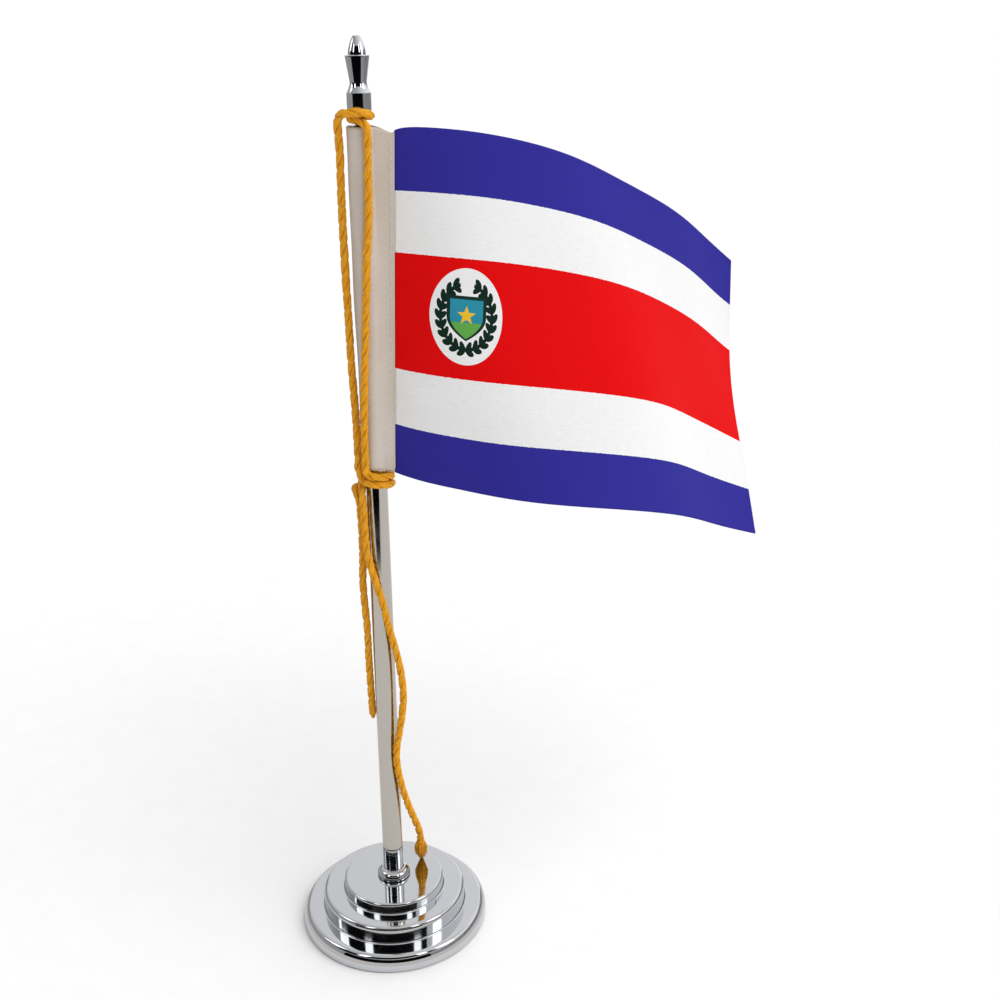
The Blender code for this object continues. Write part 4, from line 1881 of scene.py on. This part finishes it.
    def short_points(self) -> list[Vector]:
        """Once round the pole below the other turn, then down its left side."""
        pitch = 2 * (self.diameter + self.gap)
        wrap = self.pole_radius + self.diameter / 2 + self.gap
        level = self.tie_level - pitch / 2
        points = self.past_hem(174.6)
        points += self.turn(wrap, (-174, 95), (level + pitch * 34 / 360, level - pitch * 235 / 360), 10)
        return points + self.stretch(self.short_tail, self.tie_level, self.top_tread)

    def ply_ways(self, route: Points, phase: float) -> tuple[Points, Points]:
        """Where the first ply lies round a cord.

        Args:
            route: the cord's centreline.
            phase: the ply's turn at its start, in degrees.

        Returns:
            The ply's direction from the centreline, and the direction square to it, for each point.
        """
        across, up = route_frames(route)
        travelled = np.concatenate(([0.0], np.cumsum(np.linalg.norm(np.diff(route, axis=0), axis=1))))
        turn = (math.radians(phase) + math.tau * travelled / (self.lay_length * MM))[:, None]
        return np.cos(turn) * across + np.sin(turn) * up, np.cos(turn) * up - np.sin(turn) * across

    def build_length(
        self,
        name: str,
        node: str,
        points: Sequence[Vector],
        phase: float,
        brush: tuple[float, float] | None = None,
    ) -> list[bpy.types.Object]:
        """Lays one length of cord from two plies.

        Args:
            name: the piece's name.
            node: the CAD node that it stands for.
            points: the points of its route, in metres.
            phase: where round the cord the first ply starts, in degrees.
            brush: the swell and length of its frayed end in millimetres, if it has one.

        Returns:
            The cord, and its frayed end if it has one.
        """
        route = smooth_route(points, self.step * MM)
        travelled = np.concatenate(([0.0], np.cumsum(np.linalg.norm(np.diff(route, axis=0), axis=1))))
        sides = 24
        around = np.linspace(0, math.tau, sides, endpoint=False)
        parts = []
        for ply in range(2):
            outward, sideways = self.ply_ways(route, phase + 180 * ply)
            uneven = 1 + 0.04 * np.sin(travelled / (2.9 * MM) + ply * 2.1)
            uneven = uneven + 0.03 * np.sin(travelled / (7.7 * MM) + ply)
            # Five finer yarns make up each ply, twisted the other way.
            yarns = 1 + 0.055 * np.cos(5 * around[None, :] + math.tau * travelled[:, None] / (2.6 * MM))
            centres = route + outward * (self.ply_offset * MM)
            spread = uneven[:, None] * yarns * MM
            points_ply = (
                centres[:, None, :]
                + outward[:, None, :] * (spread * self.ply_depth * np.cos(around))[..., None]
                + sideways[:, None, :] * (spread * self.ply_width * np.sin(around))[..., None]
            ).reshape(-1, 3)
            _, ply_faces, ply_uv = lay_tube(centres, np.full(len(centres), self.ply_width * MM), sides)
            parts.append((points_ply, ply_faces, ply_uv + np.array((0.0, ply * 7 * MM))))
        cord = add_joined(name, parts, self.yarn)
        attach(cord, "flag")
        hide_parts(node)
        pieces = [cord]
        if brush:
            pieces.append(self.build_brush(name + "_frayed_end", route, *brush))
        return pieces

    def build_brush(self, name: str, route: Points, spread: float, length: float) -> bpy.types.Object:
        """The frayed end: loose fibres that splay from the last of the cord.

        Args:
            name: the piece's name.
            route: the cord's centreline.
            spread: how far the fibres swell from the centreline, in millimetres.
            length: the longest fibre, in millimetres.

        Returns:
            The frayed end.
        """
        chance = random.Random(7)
        across, up = route_frames(route)
        start = len(route) - round(length * self.fibre_root / self.step)
        base, way = route[start], route[-1] - route[start]
        way = way / np.linalg.norm(way)
        parts = []
        for _ in range(self.fibre_count):
            angle = chance.uniform(0, math.tau)
            out = across[start] * math.cos(angle) + up[start] * math.sin(angle)
            inner = chance.uniform(0.3, 0.95) * MM
            bulge = spread * MM * chance.uniform(0.1, 1.0)
            reach = chance.uniform(0.75, 1.0) * length * MM
            shares = np.linspace(0, 1, 9)[:, None]
            lean = chance.uniform(-0.5, 0.5) * MM
            swell = np.interp(shares, (0, 0.2, 0.4, 0.62, 0.8, 1.0), (0, 0.34, 0.72, 1.0, 0.66, 0.1))
            away = inner * (1 - 0.5 * shares) + bulge * swell
            sway = lean * np.sin(shares * math.pi) * np.cross(out, way)
            line = base + way * reach * shares + out * away + sway
            radii = self.fibre_radius * MM * (1 - 0.6 * shares[:, 0])
            parts.append(lay_tube(line, radii, 5))
        # The loose fibres' darker tone is painted shade between them.
        loose = TwistedYarn("loose gold fibre", bright="F4B42A", gap_shade="DB9314").build()
        brush = add_joined(name, parts, loose)
        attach(brush, "flag")
        return brush

    def build(self) -> list[bpy.types.Object]:
        """Builds the three lengths and their frayed ends."""
        loop = smooth_route(self.loop_points(), self.step * MM)
        loop_phase = 20.0
        pieces = self.build_length("cord_loop", "halyard_loop", self.loop_points(), loop_phase)
        ways, _ = self.ply_ways(loop, loop_phase)
        tails = (
            ("cord_long_tail", "halyard_long_tail", self.long_points(), -1, (1.75, 10.4)),
            ("cord_short_tail", "halyard_short_tail", self.short_points(), 0, (0.6, 6.0)),
        )
        for name, node, points, end, brush in tails:
            # Each tail carries on from an end of the loop, with its plies where the loop's plies are.
            joined = [Vector(loop[end]), *points]
            across, up = route_frames(smooth_route(joined, self.step * MM))
            phase = math.degrees(math.atan2(float(ways[end] @ up[0]), float(ways[end] @ across[0])))
            pieces += self.build_length(name, node, joined, phase, brush)
        return pieces


# ---------------------------------------------------------------- studio


@dataclass
class Studio:
    """A plain pale floor, soft lights and the camera."""

    camera_place: tuple[float, float, float] = (-0.16184, -0.31764, 0.28801)
    camera_heading: float = 57.07
    camera_pitch: float = -21.22
    camera_roll: float = -0.44
    lens: float = 45.66
    sensor: float = 36.0
    sky: float = 0.8
    sky_right: float = 0.42
    sky_behind: float = 0.22
    key: float = 1.2

    def build_camera(self) -> None:
        """Stands the camera in front of the object, looking slightly down."""
        heading, pitch = math.radians(self.camera_heading), math.radians(self.camera_pitch)
        roll = math.radians(self.camera_roll)
        forward = Vector(
            (math.cos(heading) * math.cos(pitch), math.sin(heading) * math.cos(pitch), math.sin(pitch))
        )
        level = Vector((math.sin(heading), -math.cos(heading), 0.0))
        upright = level.cross(forward)
        right = level * math.cos(roll) + upright * math.sin(roll)
        up = upright * math.cos(roll) - level * math.sin(roll)
        data = bpy.data.cameras.new("studio_camera")
        data.lens = self.lens
        data.sensor_width = self.sensor
        data.clip_start, data.clip_end = 0.01, 60.0
        camera = bpy.data.objects.new("studio_camera", data)
        bpy.context.scene.collection.objects.link(camera)
        turned = Matrix((right, up, -forward)).transposed().to_4x4()
        camera.matrix_world = Matrix.Translation(self.camera_place) @ turned
        bpy.context.scene.camera = camera

    def facing(self, turn: float) -> float:
        """The heading this many degrees to the right of the camera, seen from the object."""
        return self.camera_heading + 180 + turn

    def build_floor(self) -> None:
        """A wide pale floor."""
        material, tree, shader = start_material("matt white laminate")
        place = add_node(tree, "ShaderNodeTexCoord").outputs["Object"]
        grain = add_node(tree, "ShaderNodeTexNoise", inputs={"Vector": place, "Scale": 90.0, "Detail": 3.0})
        tone = add_node(
            tree,
            "ShaderNodeMix",
            {"data_type": "RGBA"},
            {"Factor": grain.outputs["Fac"], "A": linear("F3F3F3"), "B": linear("F8F8F8")},
        )
        tree.links.new(tone.outputs[2], shader.inputs["Base Color"])
        shader.inputs["Roughness"].default_value = 0.9
        shader.inputs["Specular IOR Level"].default_value = 0.1
        size = 12.0
        points = np.array(((-size, -size, 0), (size, -size, 0), (size, size, 0), (-size, size, 0)))
        floor = add_mesh("studio_floor", points, [(0, 1, 2, 3)], material)

    def add_light(
        self, name: str, heading: float, distance: float, level: float, size: tuple[float, float], power: float
    ) -> bpy.types.Object:
        """Stands a soft box that faces the object.

        Args:
            name: the light's name.
            heading: where it stands, as a heading from the object.
            distance: how far off it stands, in metres.
            level: its height above the floor, in metres.
            size: its width and height, in metres.
            power: its power in watts.

        Returns:
            The light.
        """
        data = bpy.data.lights.new(name, "AREA")
        data.shape = "RECTANGLE"
        data.size, data.size_y = size
        data.energy = power
        light = bpy.data.objects.new(name, data)
        bpy.context.scene.collection.objects.link(light)
        light.location = polar(distance, heading, level)
        target = Vector((0.0, 0.0, 0.12))
        light.rotation_mode = "QUATERNION"
        light.rotation_quaternion = (target - light.location).to_track_quat("-Z", "Y")
        return light

    def build_card(self, name: str, colour: str, rows: Sequence[tuple[float, float, float, float]]) -> None:
        """Bends a matt card round the front. It shows only in the metal, to which it gives its bands.

        Args:
            name: the card's name.
            colour: its colour.
            rows: for each of its lines, how far off it is, its level, and where it starts and ends in
                degrees to the right of the camera.
        """
        material, _, shader = start_material(name.replace("_", " "))
        shader.inputs["Base Color"].default_value = linear(colour)
        shader.inputs["Roughness"].default_value = 1.0
        shader.inputs["Specular IOR Level"].default_value = 0.0
        steps = 48
        points = [
            tuple(polar(distance, self.facing(blend(start, end, step / steps)), level))
            for distance, level, start, end in rows
            for step in range(steps + 1)
        ]
        faces = []
        for row in range(len(rows) - 1):
            for step in range(steps):
                a = row * (steps + 1) + step
                faces.append((a, a + 1, a + steps + 2, a + steps + 1))
        card = add_mesh(name, np.array(points), faces, material)
        card.visible_camera = False
        card.visible_diffuse = False
        card.visible_shadow = False
        card.visible_transmission = False

    def build_cards(self) -> None:
        """The black and grey cards in front of the stand, and the warm grey mat on the floor round it, which
        paints the floor's shade into the metal's reflections.
        """
        black = "08080A"
        self.build_card("high_black_card", black, ((0.46, 0.27, -92, 55), (0.46, 0.56, -92, 55)))
        self.build_card("low_black_card", black, ((0.9, 0.0, -56, 43), (0.9, 0.42, -56, 43)))
        self.build_card(
            "black_floor_mat", black, ((0.29, 0.0015, -20, 12), (0.6, 0.0015, -52, 42), (0.9, 0.0015, -56, 43))
        )
        for name, colour, start, end in (
            ("left_grey_card", "9A9A9A", -150, -50),
            ("right_grey_card", "B4B4B4", 40, 150),
        ):
            rows = ((0.55, 0.001, start, end), (1.0, 0.001, start, end), (1.0, 0.5, start, end))
            self.build_card(name, colour, rows)
        # The warm grey mat shows only in the metal: painted shade of the floor round the foot, in its
        # reflections.
        self.build_card("floor_shade_reflection_mat", "DFDAD5", ((0.036, 0.0005, -179, 179), (0.55, 0.0005, -179, 179)))

    def build_world(self) -> None:
        """White light from all round, brighter from behind and from the right."""
        world = bpy.data.worlds.new("studio")
        world.use_nodes = True
        bpy.context.scene.world = world
        tree = world.node_tree
        background = tree.nodes["Background"]
        background.inputs["Color"].default_value = linear("FFFFFF")
        place = add_node(tree, "ShaderNodeTexCoord").outputs["Generated"]
        brighter = polar(self.sky_right, self.facing(90), 0.0) + polar(self.sky_behind, self.facing(180), 0.0)
        lean = add_node(
            tree, "ShaderNodeVectorMath", {"operation": "DOT_PRODUCT"}, {0: place, 1: tuple(brighter)}
        )
        sky = add_node(
            tree,
            "ShaderNodeMath",
            {"operation": "ADD"},
            [lean.outputs["Value"], self.sky],
        ).outputs[0]
        # The plain backdrop stays white.
        seen = add_node(tree, "ShaderNodeLightPath").outputs["Is Camera Ray"]
        strength = add_node(
            tree,
            "ShaderNodeMath",
            {"operation": "MAXIMUM"},
            [sky, add_node(tree, "ShaderNodeMath", {"operation": "MULTIPLY"}, [seen, 1.1])],
        ).outputs[0]
        tree.links.new(strength, background.inputs["Strength"])

    def build(self) -> None:
        """Builds the studio."""
        self.build_camera()
        self.build_floor()
        self.build_world()
        self.build_cards()
        for name, turn, size, power in (
            ("strip_left", -88, (0.15, 0.22), 0.28),
            ("strip_near_left", -40, (0.1, 0.22), 0.19),
            ("strip_near_right", 39, (0.09, 0.22), 0.17),
            ("strip_right", 74, (0.13, 0.22), 0.26),
        ):
            strip = self.add_light(name, self.facing(turn), 0.42, 0.42, size, power)
            strip.visible_diffuse = False
        sun = bpy.data.lights.new("key", "SUN")
        sun.energy = self.key
        sun.angle = math.radians(50)
        key = bpy.data.objects.new("key", sun)
        bpy.context.scene.collection.objects.link(key)
        key.rotation_mode = "QUATERNION"
        key.rotation_quaternion = polar(0.57, self.facing(68), 0.82).to_track_quat("Z", "Y")
        key.visible_glossy = False
        settings = bpy.context.scene.view_settings
        settings.view_transform = "Standard"
        settings.look = "None"


def main() -> None:
    """Builds the stand piece by piece, then the studio round it."""
    logging.basicConfig(level=logging.INFO, format="%(name)s: %(message)s")
    for assembly in (SteppedBase(), Mast(), FlagCloth(), GoldCord()):
        for piece in assembly.build():
            LOG.info("%s: %s, %d faces", type(assembly).__name__, piece.name, len(piece.data.polygons))
    Studio().build()


if __name__ == "__main__":
    main()
